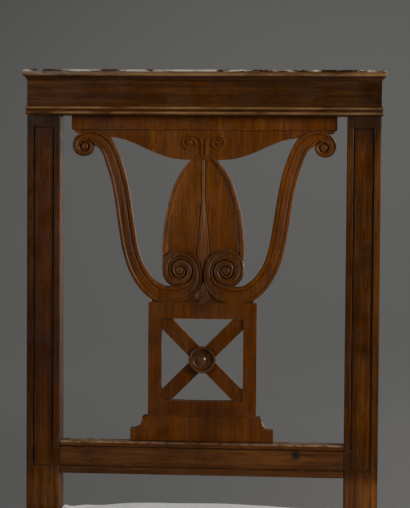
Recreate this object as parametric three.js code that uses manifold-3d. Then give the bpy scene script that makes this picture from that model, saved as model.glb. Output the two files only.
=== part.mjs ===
// Lyre-back side chair of walnut, with a raked back and a stuffed seat covered in plain cotton.
// Millimetres. The chair faces -Y, +X is on the viewer's right and +Z is up.
// The back is drawn in its own upright frame, whose origin lies on the front face of the back
// posts at seat level, and is then tipped backwards as a whole by the rake.
import * as THREE from 'three';
import { mergeVertices } from 'three/addons/utils/BufferGeometryUtils.js';
import Module from 'manifold-3d';

const wasm = await Module();
wasm.setup();

// Fits between pieces
const GAP = 0.3;
const OVERRUN = 2;

// Back frame
const SEAT_LEVEL = 445;
const BACK_RAKE_DEGREES = 8;
const BACK_WIDTH = 430;
const POST_WIDTH = 41;
const POST_DEPTH_TOP = 27;
const POST_DEPTH_SEAT = 34;
const SEAT_TO_LOWER_RAIL = 38.5;
const LOWER_RAIL_HEIGHT = 39.5;
const LOWER_RAIL_DEPTH = 23;
const SPLAT_HEIGHT = 398.8;
const EDGE_ROUND = 1;

// Sunk panel that runs down one post, along the lower rail and up the other post
const PANEL_OUTER_BORDER = 7.9;
const PANEL_INNER_BORDER = 7.5;
const PANEL_SILL_BORDER = 5.7;
const PANEL_TOP_MARGIN = 14.5;
const PANEL_DEPTH = 1.8;
const PANEL_QUIRK_WIDTH = 1.3;
const PANEL_QUIRK_DEPTH = 3;

// Crest rail: frieze with a double bead below it and a cap on top
const FRIEZE_HEIGHT = 30.2;
const FRIEZE_PROUD = 1;
const BEAD_HEIGHT = 5.9;
const BEAD_PROUD = 2;
const CREST_DEPTH = 30;
const COVE_HEIGHT = 4.8;
const COVE_PROUD = 4.2;
const CAP_HEIGHT = 8.1;
const CAP_PROUD = 5.2;
const CAP_BACK_PROUD = 3;

// Mortise and tenon joints
const TENON_THICKNESS = 9;
const TENON_SHOULDER = 8;
const TENON_LENGTH = 18;
const CREST_TENON_LENGTH = 26;
const PEG_RADIUS = 3;
const PEG_BITE = 3;

// Lyre splat, its outlines are measured from its own top edge and centre line
const SPLAT_THICKNESS = 11;
const SPLAT_SETBACK = 12;
const SPLAT_TONGUE = 10;
const SPLAT_TONGUE_THICKNESS = 5;
const PLATE_END_GAP = 12;
const PLATE_HEIGHT = 17;
const PLATE_STEP = 4.5;
const YOKE_RECESS = 2.2;
const YOKE_DROP = 53;
const YOKE_END_INSET = 46;

// Lyre arms, with a scroll at the top end and a volute at the foot
const ARM_WIDTH = 19.1;
const ARM_PROUD = 0.8;
const ARM_RELIEF = 2.6;
const ARM_RIDGE_WIDTH = 7.4;
const ARM_FULL_WIDTH = 9.6;
const SCROLL_END_INSET = 16;
const SCROLL_DROP = 37.6;
const SCROLL_RADIUS = 18;
const SCROLL_EYE_RADIUS = 4.2;
const VOLUTE_HALF_SPREAD = 28.5;
const VOLUTE_DROP = 188.2;
const VOLUTE_RADIUS = 26.6;
const VOLUTE_BED_RADIUS = 21.5;
const VOLUTE_EYE_RADIUS = 4.6;
const NECK_END_INSET = 4;
const TURN_STEP_DEGREES = 45;
const EYE_DOME = 1;
const BED_SINK = 0.5;

// Leaf between the arms
const LEAF_TIP_DROP = 45.3;
const LEAF_FOOT_DROP = 210;
const LEAF_HALF_WIDTH = 50.4;
const LEAF_RECESS = 1.6;
const LEAF_RIM = 6.4;
const LEAF_RIM_GROOVE = 1.8;
const LEAF_HOLLOW = 2.6;
const RIB_SPLIT_DROP = 102;
const RIB_TOP_HALF = 1.6;
const RIB_FOOT_HALF = 11.3;
const RIB_LINE = 2.2;

// Small carved volutes on the yoke and the bud between the big volutes
const YOKE_SCROLL_SPREAD = 17;
const YOKE_SCROLL_DROP = 31.6;
const YOKE_SCROLL_RADIUS = 9.7;
const YOKE_SCROLL_EYE_RADIUS = 2.4;
const YOKE_SCROLL_LINE = 3.2;
const YOKE_SCROLL_RELIEF = 1.5;
const BUD_TOP_DROP = 203;
const BUD_HEIGHT = 24;
const BUD_HALF_WIDTH = 10.3;

// Crossed panel, plinth and rosette
const PANEL_FRAME_DROP = 227.8;
const PANEL_FRAME_HALF_WIDTH = 66.5;
const PANEL_FRAME_STILE = 16.4;
const PANEL_FRAME_TOP_RAIL = 19.4;
const PANEL_FRAME_BOTTOM_RAIL = 19.3;
const PANEL_OPENING_BOW = 1.6;
const BAR_WIDTH = 17.7;
const BAR_RECESS = 2;
const PLINTH_HEIGHT = 31.1;
const PLINTH_TOP_HALF_WIDTH = 71.8;
const PLINTH_HALF_WIDTH = 88;
const PLINTH_FILLET = 15;
const PLINTH_SHOULDER = 1.5;
const PLINTH_PROUD = 1.2;
const ROSETTE_RADIUS = 16.7;
const ROSETTE_RIM = 4.1;
const ROSETTE_BUTTON = 4.8;
const ROSETTE_HEIGHT = 6;
const ROSETTE_SPIGOT_RADIUS = 4;
const ROSETTE_SPIGOT_LENGTH = 6;

// Seat frame and legs
const RAIL_TOP = 415;
const SEAT_RAIL_HEIGHT = 60;
const SEAT_RAIL_THICKNESS = 22;
const SEAT_DEPTH = 400;
const FRONT_WIDTH = 470;
const FRONT_LEG_WIDTH = 38;
const FRONT_FOOT_WIDTH = 25;
const REAR_FOOT_WIDTH = 31;
const REAR_FOOT_DEPTH = 27;
const REAR_FOOT_SWEEP = 52;
const BACK_RAIL_SETBACK = 6;
const BLOCK_REACH = 48;
const BLOCK_HEIGHT = 40;
const BLOCK_DROP = 8;
const SCREW_LENGTH = 34;
const SCREW_RADIUS = 2.2;
const SCREW_HEAD_RADIUS = 4.4;
const SCREW_HEAD_HEIGHT = 2.6;
const SCREW_SINK = 2;

// Upholstery
const WEB_WIDTH = 50;
const WEB_THICKNESS = 2;
const WEB_RAMP = 9;
const WEB_SIDE_PITCH = 100;
const WEB_FRONT_INSET = 90;
const WEB_BACK_INSET = 74;
const HESSIAN_THICKNESS = 1.2;
const HESSIAN_MARGIN = 4;
const COVER_THICKNESS = 1.6;
const COVER_LIFT = 7;
const SEAT_EDGE_HEIGHT = 26;
const SEAT_CROWN = 17;
const SEAT_BULGE = 6.5;

// Places worked out from the sizes above
const HALF_BACK = BACK_WIDTH / 2;
const POST_INNER = HALF_BACK - POST_WIDTH;
const LOWER_RAIL_BOTTOM = SEAT_TO_LOWER_RAIL;
const LOWER_RAIL_TOP = LOWER_RAIL_BOTTOM + LOWER_RAIL_HEIGHT;
const CREST_BOTTOM = LOWER_RAIL_TOP + SPLAT_HEIGHT;
const BEADS_TOP = CREST_BOTTOM + 2 * BEAD_HEIGHT;
const CREST_TOP = BEADS_TOP + FRIEZE_HEIGHT;
const SPLAT_BACK = SPLAT_SETBACK + SPLAT_THICKNESS;
const PLATE_HALF_WIDTH = POST_INNER - PLATE_END_GAP;
const YOKE_HALF_SPAN = PLATE_HALF_WIDTH - YOKE_END_INSET;
const SCROLL_HALF_SPREAD = PLATE_HALF_WIDTH - SCROLL_END_INSET;
const PLINTH_TOP = LOWER_RAIL_TOP + GAP + PLINTH_HEIGHT;
const RAIL_BOTTOM = RAIL_TOP - SEAT_RAIL_HEIGHT;
const HALF_FRONT = FRONT_WIDTH / 2;
const LEG_INNER = HALF_FRONT - FRONT_LEG_WIDTH;
const LEG_BACK = FRONT_LEG_WIDTH - SEAT_DEPTH;
const BACK_RAIL_REAR = BACK_RAIL_SETBACK + SEAT_RAIL_THICKNESS;
const BACK_RAKE = THREE.MathUtils.degToRad(BACK_RAKE_DEGREES);
const ROUND_SIDES = 12;

const backMatrix = new THREE.Matrix4()
  .makeRotationX(-BACK_RAKE)
  .setPosition(0, 0, SEAT_LEVEL);

// Wood, iron and cloth
const walnut = new THREE.MeshStandardMaterial({ color: 0x4a2813, roughness: 0.45, metalness: 0 });
const splatWalnut = new THREE.MeshStandardMaterial({ color: 0x63371a, roughness: 0.42, metalness: 0 });
const paleWood = new THREE.MeshStandardMaterial({ color: 0x8a6a45, roughness: 0.7, metalness: 0 });
const iron = new THREE.MeshStandardMaterial({ color: 0x4b4642, roughness: 0.5, metalness: 0.9 });
const jute = new THREE.MeshStandardMaterial({ color: 0x8f7650, roughness: 0.95, metalness: 0 });
const hair = new THREE.MeshStandardMaterial({ color: 0x3a3029, roughness: 1, metalness: 0 });
const cotton = new THREE.MeshStandardMaterial({ color: 0xe4e1da, roughness: 0.9, metalness: 0 });

// Solids and joining

function solidOf(geometry) {
  const bare = geometry.clone();
  bare.deleteAttribute('normal');
  bare.deleteAttribute('uv');
  const merged = mergeVertices(bare, 1e-4);
  return new wasm.Manifold(new wasm.Mesh({
    numProp: 3,
    vertProperties: new Float32Array(merged.attributes.position.array),
    triVerts: new Uint32Array(merged.index.array),
  }));
}

function geometryOf(solid) {
  const mesh = solid.getMesh();
  const geometry = new THREE.BufferGeometry();
  geometry.setAttribute('position', new THREE.BufferAttribute(new Float32Array(mesh.vertProperties), 3));
  geometry.setIndex(new THREE.BufferAttribute(new Uint32Array(mesh.triVerts), 1));
  geometry.computeVertexNormals();
  return geometry;
}

function joined(solids) {
  return solids.reduce((whole, piece) => whole.add(piece));
}

// The main body of a joined piece, without the empty slivers that touching faces can leave
function mainBody(solid) {
  return solid.decompose().reduce((main, body) => (body.volume() > main.volume() ? body : main));
}

function cut(solid, tools) {
  return tools.reduce((rest, tool) => rest.subtract(tool), solid);
}

// A block between two values on each axis, grown on every side by a clearance
function slab(x, y, z, grow = 0) {
  const size = [x, y, z].map(([low, high]) => high - low + 2 * grow);
  const middle = [x, y, z].map(([low, high]) => (high + low) / 2);
  return new THREE.BoxGeometry(...size).translate(...middle);
}

// Outlines in the XZ plane, given thickness from a front to a back
function board(shape, front, back, curveSegments = 8) {
  return new THREE.ExtrudeGeometry(shape, { depth: back - front, bevelEnabled: false, curveSegments })
    .rotateX(Math.PI / 2)
    .translate(0, back, 0);
}

// Outlines in the XY plane, given height
function plan(points, bottom, top) {
  const shape = new THREE.Shape(points.map(([x, y]) => new THREE.Vector2(x, y)));
  return new THREE.ExtrudeGeometry(shape, { depth: top - bottom, bevelEnabled: false })
    .translate(0, 0, bottom);
}

// Outlines in the YZ plane, run sideways between two values of X
function sideways(shape, left, right, round = 0, curveSegments = 8) {
  const axes = new THREE.Matrix4().makeBasis(
    new THREE.Vector3(0, 1, 0), new THREE.Vector3(0, 0, 1), new THREE.Vector3(1, 0, 0));
  const bevel = { bevelEnabled: round > 0, bevelSize: round, bevelOffset: -round, bevelThickness: round };
  return new THREE.ExtrudeGeometry(shape, {
    depth: right - left - 2 * round, bevelSegments: 1, curveSegments, ...bevel,
  }).applyMatrix4(axes).translate(left + round, 0, 0);
}

function shapeOf(points) {
  return new THREE.Shape(points.map(([a, b]) => new THREE.Vector2(a, b)));
}

// A closed skin through rings of equally many points, with a flat cap on each end
function loft(rings) {
  const count = rings[0].length;
  const positions = rings.flat().flatMap((point) => point);
  const faces = [];
  for (let ring = 0; ring + 1 < rings.length; ring += 1) {
    for (let i = 0; i < count; i += 1) {
      const a = ring * count + i;
      const b = ring * count + (i + 1) % count;
      faces.push(a, b, b + count, a, b + count, a + count);
    }
  }
  const last = (rings.length - 1) * count;
  [[0, true], [last, false]].forEach(([start, flipped]) => {
    const ring = rings[start / count];
    const middle = [0, 1, 2].map((axis) => ring.reduce((sum, point) => sum + point[axis], 0) / count);
    const centre = positions.length / 3;
    positions.push(...middle);
    for (let i = 0; i < count; i += 1) {
      const a = start + i;
      const b = start + (i + 1) % count;
      faces.push(centre, ...(flipped ? [b, a] : [a, b]));
    }
  });
  return facingOut(positions, faces);
}

// Turns every face round when the enclosed volume comes out negative
function facingOut(positions, faces) {
  const corner = (index) => new THREE.Vector3().fromArray(positions, 3 * index);
  let volume = 0;
  for (let i = 0; i < faces.length; i += 3) {
    volume += corner(faces[i]).dot(corner(faces[i + 1]).cross(corner(faces[i + 2])));
  }
  const order = volume < 0 ? [0, 2, 1] : [0, 1, 2];
  const index = [];
  for (let i = 0; i < faces.length; i += 3) {
    index.push(...order.map((k) => faces[i + k]));
  }
  const geometry = new THREE.BufferGeometry();
  geometry.setAttribute('position', new THREE.Float32BufferAttribute(positions, 3));
  geometry.setIndex(index);
  return geometry;
}

// A stack of rectangles: each level has a height, a half width, a front and a back
function stack(levels, centreX = 0) {
  return loft(levels.map(({ z, half, front, back }) => [
    [centreX - half, front, z], [centreX + half, front, z],
    [centreX + half, back, z], [centreX - half, back, z],
  ]));
}

function mirrored(geometry) {
  const copy = geometry.clone().scale(-1, 1, 1);
  const index = Array.from(copy.index ? copy.index.array : [...Array(copy.attributes.position.count).keys()]);
  for (let i = 0; i < index.length; i += 3) {
    [index[i + 1], index[i + 2]] = [index[i + 2], index[i + 1]];
  }
  copy.setIndex(index);
  return copy;
}

// A cylinder with its axis along Y
function roundPeg(radius, front, back, x, z) {
  return new THREE.CylinderGeometry(radius, radius, back - front, ROUND_SIDES)
    .translate(x, (front + back) / 2, z);
}

const chair = new THREE.Group();
const back = new THREE.Group();
back.applyMatrix4(backMatrix);
chair.add(back);

function place(group, name, geometry, material) {
  const mesh = new THREE.Mesh(geometry, material);
  mesh.name = name;
  group.add(mesh);
}

// The sunk panel follows the posts and the lower rail as one U-shaped sinking with a quirk each side

function panelU(outerInset, innerInset, topInset, depth) {
  const outer = HALF_BACK - outerInset;
  const inner = POST_INNER + innerInset;
  const top = CREST_BOTTOM - PANEL_TOP_MARGIN - topInset;
  const bottom = LOWER_RAIL_BOTTOM + outerInset;
  const sill = LOWER_RAIL_TOP - PANEL_SILL_BORDER - (innerInset - PANEL_INNER_BORDER);
  const shape = shapeOf([
    [-outer, bottom], [outer, bottom], [outer, top], [inner, top],
    [inner, sill], [-inner, sill], [-inner, top], [-outer, top],
  ]);
  return board(shape, -OVERRUN, depth);
}

function panelTools() {
  const field = panelU(PANEL_OUTER_BORDER, PANEL_INNER_BORDER, 0, PANEL_DEPTH);
  const quirk = solidOf(panelU(PANEL_OUTER_BORDER, PANEL_INNER_BORDER, 0, PANEL_QUIRK_DEPTH));
  const island = solidOf(panelU(
    PANEL_OUTER_BORDER + PANEL_QUIRK_WIDTH, PANEL_INNER_BORDER + PANEL_QUIRK_WIDTH,
    PANEL_QUIRK_WIDTH, PANEL_QUIRK_DEPTH + OVERRUN));
  return [field, geometryOf(quirk.subtract(island))];
}

// Tenons and pegs of the back, as ranges in the back's own frame

const crestTenon = (side) => [
  span(side * (HALF_BACK - TENON_SHOULDER), side * (POST_INNER + TENON_SHOULDER)),
  [TENON_SHOULDER, TENON_SHOULDER + TENON_THICKNESS],
  [CREST_BOTTOM, CREST_BOTTOM + CREST_TENON_LENGTH],
];

const lowerTenon = (side) => [
  span(side * POST_INNER, side * (POST_INNER + TENON_LENGTH)),
  [TENON_SHOULDER, TENON_SHOULDER + TENON_THICKNESS],
  [LOWER_RAIL_BOTTOM + TENON_SHOULDER, LOWER_RAIL_TOP - TENON_SHOULDER],
];

function span(a, b) {
  return [Math.min(a, b), Math.max(a, b)];
}

function backPeg([x, y, z], rear, grow = 0) {
  return roundPeg(PEG_RADIUS + grow, y[0] + PEG_BITE - grow, rear + grow,
    (x[0] + x[1]) / 2, (z[0] + z[1]) / 2);
}

// Depth of the post at a height in the back's own frame
function postDepth(z) {
  const share = z / CREST_BOTTOM;
  return THREE.MathUtils.lerp(POST_DEPTH_SEAT, POST_DEPTH_TOP, share);
}

// Back posts: stile and rear leg in one piece

function backPoint(y, z) {
  const point = new THREE.Vector3(0, y, z).applyMatrix4(backMatrix);
  return [point.y, point.z];
}

function postProfile() {
  const shape = new THREE.Shape();
  shape.moveTo(...backPoint(0, CREST_BOTTOM - GAP));
  shape.lineTo(0, SEAT_LEVEL);
  shape.lineTo(0, RAIL_BOTTOM);
  shape.quadraticCurveTo(0, RAIL_BOTTOM / 2, REAR_FOOT_SWEEP, 0);
  shape.lineTo(REAR_FOOT_SWEEP + REAR_FOOT_DEPTH, 0);
  shape.quadraticCurveTo(POST_DEPTH_SEAT, RAIL_BOTTOM / 2, POST_DEPTH_SEAT, RAIL_BOTTOM);
  shape.lineTo(POST_DEPTH_SEAT, SEAT_LEVEL - POST_DEPTH_SEAT * Math.tan(BACK_RAKE / 2));
  shape.lineTo(...backPoint(POST_DEPTH_TOP, CREST_BOTTOM - GAP));
  return shape;
}

function addPosts() {
  const reach = SEAT_LEVEL + CREST_TOP;
  const frontView = shapeOf([
    [POST_INNER, reach], [POST_INNER, RAIL_BOTTOM], [HALF_BACK - REAR_FOOT_WIDTH, 0],
    [HALF_BACK, 0], [HALF_BACK, reach],
  ]);
  const blank = solidOf(sideways(postProfile(), POST_INNER, HALF_BACK, EDGE_ROUND, 7))
    .intersect(solidOf(board(frontView, -reach, reach)));
  const inWorld = (geometry) => solidOf(geometry.clone().applyMatrix4(backMatrix));
  const panel = panelTools().map(inWorld);
  const railMortise = slab(...lowerTenon(1), GAP);
  const railPeg = backPeg(lowerTenon(1), POST_DEPTH_SEAT + OVERRUN, GAP);
  const seatMortises = [sideRailTenonAtPost(1), backRailTenon(1)].map((range) => solidOf(slab(...range, GAP)));
  const post = cut(blank, [...panel, inWorld(railMortise), inWorld(railPeg), ...seatMortises]);
  const [tenonX, tenonY] = crestTenon(1);
  const tenon = slab(tenonX, tenonY,
    [CREST_BOTTOM - OVERRUN, CREST_BOTTOM + CREST_TENON_LENGTH]);
  const pegHole = backPeg(crestTenon(1), CREST_DEPTH, GAP);
  const right = geometryOf(cut(post.add(inWorld(tenon)), [inWorld(pegHole)]));
  place(chair, 'back_post_right', right, walnut);
  place(chair, 'back_post_left', mirrored(right), walnut);
}

// Crest rail and its cap

function crestLevels() {
  const level = (z, proud) => ({
    z, half: HALF_BACK + proud, front: -FRIEZE_PROUD - proud, back: CREST_DEPTH,
  });
  const roundShares = [[0, 0.25], [0.18, 0.72], [0.5, 1], [0.82, 0.72], [1, 0.12]];
  const beads = [0, 1].flatMap((bead) => roundShares.map(([rise, proud]) => (
    level(CREST_BOTTOM + (bead + rise * 0.98) * BEAD_HEIGHT, proud * BEAD_PROUD))));
  return [...beads, level(BEADS_TOP, 0), level(CREST_TOP, 0)];
}

function addCrest() {
  const plug = (side) => solidOf(slab(...crestTenon(side), GAP));
  const pegs = [1, -1].map((side) => solidOf(backPeg(crestTenon(side), CREST_DEPTH + OVERRUN, GAP)));
  const rail = cut(solidOf(stack(crestLevels())), [
    plug(1), plug(-1), ...pegs, solidOf(slab(...splatTongueTop(), GAP)),
  ]);
  place(back, 'crest_rail', geometryOf(rail), walnut);

  const level = (z, proud) => ({
    z: CREST_TOP + GAP + z, half: HALF_BACK + proud,
    front: -FRIEZE_PROUD - proud, back: CREST_DEPTH + Math.min(proud, CAP_BACK_PROUD),
  });
  const coveShares = [[0, 0.08], [0.4, 0.2], [0.75, 0.5], [1, 1]];
  const lipShares = [[0, 0.9], [0.2, 1], [0.75, 1], [0.93, 0.9], [1, 0.72]];
  const cap = stack([
    ...coveShares.map(([rise, proud]) => level(rise * COVE_HEIGHT, proud * COVE_PROUD)),
    ...lipShares.map(([rise, proud]) => level(COVE_HEIGHT + (0.06 + 0.94 * rise) * CAP_HEIGHT, proud * CAP_PROUD)),
  ]);
  place(back, 'crest_cap', cap, walnut);
}

// Lower back rail

function addLowerRail() {
  const half = POST_INNER - GAP;
  const section = shapeOf([
    [0, LOWER_RAIL_BOTTOM], [LOWER_RAIL_DEPTH, LOWER_RAIL_BOTTOM],
    [LOWER_RAIL_DEPTH, LOWER_RAIL_TOP], [0, LOWER_RAIL_TOP],
  ]);
  const blank = solidOf(sideways(section, -half, half));
  const body = cut(blank, [...panelTools().map(solidOf), solidOf(slab(...plinthTongue(), GAP))]);
  const tenons = [1, -1].map((side) => {
    const [, y, z] = lowerTenon(side);
    const x = span(side * (half - OVERRUN), side * (POST_INNER + TENON_LENGTH));
    return solidOf(slab(x, y, z));
  });
  const pegs = [1, -1].map((side) => solidOf(backPeg(lowerTenon(side), POST_DEPTH_SEAT, GAP)));
  place(back, 'lower_back_rail', geometryOf(cut(joined([body, ...tenons]), pegs)), walnut);
}

function addPegs() {
  [['left', -1], ['right', 1]].forEach(([word, side]) => {
    place(back, `crest_peg_${word}`, backPeg(crestTenon(side), CREST_DEPTH), paleWood);
    const [, , z] = lowerTenon(side);
    const rear = postDepth((z[0] + z[1]) / 2) - GAP;
    place(back, `lower_rail_peg_${word}`, backPeg(lowerTenon(side), rear), paleWood);
  });
}

// Lyre splat: tongues that hold it

function splatTongueTop() {
  const half = PLATE_HALF_WIDTH - 2 * TENON_SHOULDER;
  return [[-half, half], tongueDepth(), [CREST_BOTTOM - OVERRUN, CREST_BOTTOM + SPLAT_TONGUE]];
}

function splatTongueFoot() {
  const half = PANEL_FRAME_HALF_WIDTH - 2 * TENON_SHOULDER;
  return [[-half, half], tongueDepth(), [PLINTH_TOP - SPLAT_TONGUE, PLINTH_TOP + OVERRUN]];
}

function plinthTongue() {
  const half = PLINTH_HALF_WIDTH - 2 * TENON_SHOULDER;
  return [[-half, half], tongueDepth(), [LOWER_RAIL_TOP - SPLAT_TONGUE, LOWER_RAIL_TOP + OVERRUN]];
}

function tongueDepth() {
  const middle = SPLAT_SETBACK + SPLAT_THICKNESS / 2;
  return [middle - SPLAT_TONGUE_THICKNESS / 2, middle + SPLAT_TONGUE_THICKNESS / 2];
}

// Heights on the splat are given as drops below its top edge
function splatZ(drop) {
  return CREST_BOTTOM - GAP - drop;
}

// A band that follows a path of points (x, z, width), with a moulded front and a flat back.
// profileAt gives the profile for a width: its first share runs across the band from the edge on
// the left of the path to the one on its right, and its second is the height above the relief's bottom.
function mouldedBand(path, steps, profileAt, crest, relief, backY) {
  const curve = new THREE.CatmullRomCurve3(path.map((point) => new THREE.Vector3(...point)), false, 'centripetal');
  const rings = [];
  for (let step = 0; step <= steps; step += 1) {
    const t = step / steps;
    const here = curve.getPoint(t);
    const along = curve.getTangent(t);
    const across = new THREE.Vector2(-along.y, along.x).normalize();
    const at = (u, y) => [here.x + across.x * u * here.z / 2, y, here.y + across.y * u * here.z / 2];
    rings.push([
      ...profileAt(here.z).map(([u, rise]) => at(u, crest + (1 - rise) * relief)),
      at(-1, backY), at(1, backY),
    ]);
  }
  return loft(rings);
}

// Middle and width of a band that turns clockwise round an eye: shares of the radius out to
// its far edge and to its near edge, one pair for each step of the turn
function turns([centreX, centreZ, radius], startDegrees, edgeShares) {
  return edgeShares.map(([far, near], step) => {
    const angle = THREE.MathUtils.degToRad(startDegrees - step * TURN_STEP_DEGREES);
    const middle = radius * (far + near) / 2;
    return [centreX + middle * Math.cos(angle), centreZ + middle * Math.sin(angle), radius * (far - near)];
  });
}

// The arm's moulding from its outer edge to its inner edge: a rim each side of a shallow hollow
const armProfileShares = [[1, 0.3], [0.92, 0.86], [0.66, 0.94], [0.52, 0.45], [0.38, 0.7], [0, 0.5],
  [-0.34, 0.7], [-0.46, 0.3], [-0.6, 0.92], [-0.9, 0.9], [-1, 0.3]];
// Heights at the same places where the band is narrow and left as one plain ridge
const ridgeShares = [0.3, 0.5, 0.8, 0.88, 0.94, 1, 0.94, 0.9, 0.84, 0.5, 0.3];

function armProfileAt(width) {
  const full = THREE.MathUtils.smoothstep(width, ARM_RIDGE_WIDTH, ARM_FULL_WIDTH);
  return armProfileShares.map(([across, rise], i) => [across, THREE.MathUtils.lerp(ridgeShares[i], rise, full)]);
}

// Middle of the arm between its scroll and its volute: shares of the fall and of the spread
// from eye to eye, and of the arm's width
const armCourseShares = [[-0.09, 0.928, 0.66], [-0.062, 0.852, 0.96], [-0.027, 0.79, 0.98],
  [0.037, 0.74, 0.97], [0.093, 0.71, 1], [0.145, 0.688, 1.01], [0.24, 0.65, 1], [0.334, 0.623, 0.99],
  [0.429, 0.602, 0.99], [0.528, 0.583, 1], [0.625, 0.565, 1], [0.722, 0.545, 1], [0.818, 0.522, 1],
  [0.942, 0.475, 1], [1.002, 0.44, 1.02], [1.069, 0.388, 1.06], [1.127, 0.325, 1.09],
  [1.172, 0.253, 1.11], [1.194, 0.179, 1.08], [1.198, 0.098, 1.08]];
// The scroll from over its eye, and the volute from straight below its eye
const scrollShares = [[1, 0.39], [0.93, 0.365], [0.84, 0.345], [0.73, 0.335], [0.64, 0.333], [0.6, 0.333],
  [0.633, 0.333], [0.5, 0.333], [0.4, 0.333]];
const voluteShares = [[1.48, 0.69], [1.26, 0.655], [0.985, 0.62], [0.99, 0.585], [1, 0.545], [0.93, 0.475],
  [0.8, 0.39], [0.735, 0.387], [0.66, 0.383], [0.62, 0.353], [0.583, 0.323], [0.55, 0.278],
  [0.507, 0.233], [0.43, 0.21], [0.353, 0.203], [0.346, 0.203], [0.338, 0.203], [0.312, 0.203], [0.27, 0.203]];

function armPath() {
  const scrollStart = 90;
  const voluteStart = 270;
  const scroll = [SCROLL_HALF_SPREAD, splatZ(SCROLL_DROP), SCROLL_RADIUS];
  const volute = [VOLUTE_HALF_SPREAD, splatZ(VOLUTE_DROP), VOLUTE_RADIUS];
  const course = armCourseShares.map(([fall, spread, width]) => [
    THREE.MathUtils.lerp(volute[0], scroll[0], spread),
    THREE.MathUtils.lerp(scroll[1], volute[1], fall),
    width * ARM_WIDTH,
  ]);
  return [...turns(scroll, scrollStart, scrollShares).reverse(), ...course,
    ...turns(volute, voluteStart, voluteShares)];
}

function splatArm() {
  const path = armPath();
  const steps = 3 * (path.length - 1);
  return mouldedBand(path, steps, armProfileAt, SPLAT_SETBACK - ARM_PROUD, ARM_RELIEF, SPLAT_BACK);
}

// Round eye that closes a spiral, with a domed front
function spiralEye(x, z, radius, front, dome) {
  const body = SPLAT_BACK - front;
  const profile = [[0, 0], [radius, 0], [radius, body], [radius * 0.72, body + dome * 0.6], [0, body + dome]]
    .map(([r, height]) => new THREE.Vector2(r, height));
  return new THREE.LatheGeometry(profile, ROUND_SIDES)
    .rotateX(Math.PI)
    .translate(x, SPLAT_BACK, z);
}

// Half outline of the leaf: shares of its length from the tip, and of its half width
const leafShares = [[0, 0.03], [0.018, 0.16], [0.05, 0.33], [0.121, 0.521], [0.18, 0.635], [0.231, 0.715],
  [0.29, 0.782], [0.346, 0.833], [0.455, 0.922], [0.565, 0.967], [0.674, 1], [0.787, 0.988], [0.897, 0.969],
  [0.95, 0.85], [1, 0.6]];

function leaf() {
  const length = LEAF_FOOT_DROP - LEAF_TIP_DROP;
  const front = SPLAT_SETBACK + LEAF_RECESS;
  const rings = leafShares.map(([fall, spread]) => {
    const drop = LEAF_TIP_DROP + fall * length;
    const half = spread * LEAF_HALF_WIDTH;
    const rim = Math.min(LEAF_RIM, half * 0.45);
    const groove = Math.min(LEAF_RIM_GROOVE, rim * 0.3);
    const ribShare = Math.max(0, (drop - RIB_SPLIT_DROP) / (LEAF_FOOT_DROP - RIB_SPLIT_DROP));
    const rib = Math.min(THREE.MathUtils.lerp(RIB_TOP_HALF, RIB_FOOT_HALF, ribShare), (half - rim - groove) * 0.4);
    const line = Math.min(RIB_LINE, rib * 0.9);
    const depthShares = [
      [half, 0.25], [half - rim * 0.35, 0], [half - rim * 0.75, 0.12], [half - rim, 0.7],
      [half - rim - groove, 0.92], [(half + rib) / 2, 0.8], [rib + line, 0.6], [rib + line * 0.5, 1],
      [rib, 0.45], [rib * 0.5, 0.6], [0, 0.3],
    ];
    const side = (sign) => depthShares.map(([x, share]) => [sign * x, front + share * LEAF_HOLLOW, splatZ(drop)]);
    return [
      ...side(-1), ...side(1).reverse().slice(1),
      [half, SPLAT_BACK, splatZ(drop)], [-half, SPLAT_BACK, splatZ(drop)],
    ];
  });
  return loft(rings);
}

// Lower edge of the yoke: shares of its half span and of its drop
const yokeShares = [[1, 0.485], [0.914, 0.505], [0.828, 0.548], [0.741, 0.62], [0.655, 0.704], [0.569, 0.79],
  [0.483, 0.866], [0.397, 0.93], [0.31, 0.98], [0.2, 1]];

function yokeOutline() {
  const stepped = PLATE_HALF_WIDTH - PLATE_STEP;
  const tuck = PLATE_HEIGHT + PLATE_STEP * 0.8;
  const half = [
    [PLATE_HALF_WIDTH, 0], [PLATE_HALF_WIDTH, PLATE_HEIGHT - PLATE_STEP * 0.2],
    [stepped + PLATE_STEP * 0.35, PLATE_HEIGHT + PLATE_STEP * 0.25], [stepped, tuck],
    ...yokeShares.map(([out, drop]) => [out * YOKE_HALF_SPAN, drop * YOKE_DROP]),
  ];
  const points = [...half, ...half.map(([x, drop]) => [-x, drop]).reverse()];
  return shapeOf(points.map(([x, drop]) => [x, splatZ(drop)]));
}

function plateOutline() {
  return shapeOf([
    [-PLATE_HALF_WIDTH, splatZ(0)], [-PLATE_HALF_WIDTH, splatZ(PLATE_HEIGHT - PLATE_STEP * 0.2)],
    [PLATE_HALF_WIDTH, splatZ(PLATE_HEIGHT - PLATE_STEP * 0.2)], [PLATE_HALF_WIDTH, splatZ(0)],
  ]);
}

// Course of a small volute on the yoke, from the foot of its stem by the centre line: shares of
// the volute's radius across and up from its eye, and of the line's width
const curlShares = [[-1.515, -1.588, 1.3], [-1.515, -0.866, 1.3], [-1.505, -0.144, 1.25], [-1.34, 0.423, 1.15],
  [-0.876, 0.753, 1.05], [-0.309, 0.845, 1], [0.309, 0.763, 1], [0.763, 0.371, 1], [0.866, -0.093, 1],
  [0.619, -0.608, 0.95], [0.052, -0.845, 0.9], [-0.515, -0.619, 0.85], [-0.722, -0.103, 0.8],
  [-0.557, 0.33, 0.75], [-0.144, 0.557, 0.7], [0.268, 0.392, 0.65], [0.392, 0.062, 0.6], [0.165, -0.268, 0.55],
  [-0.165, -0.289, 0.5]];

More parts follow.
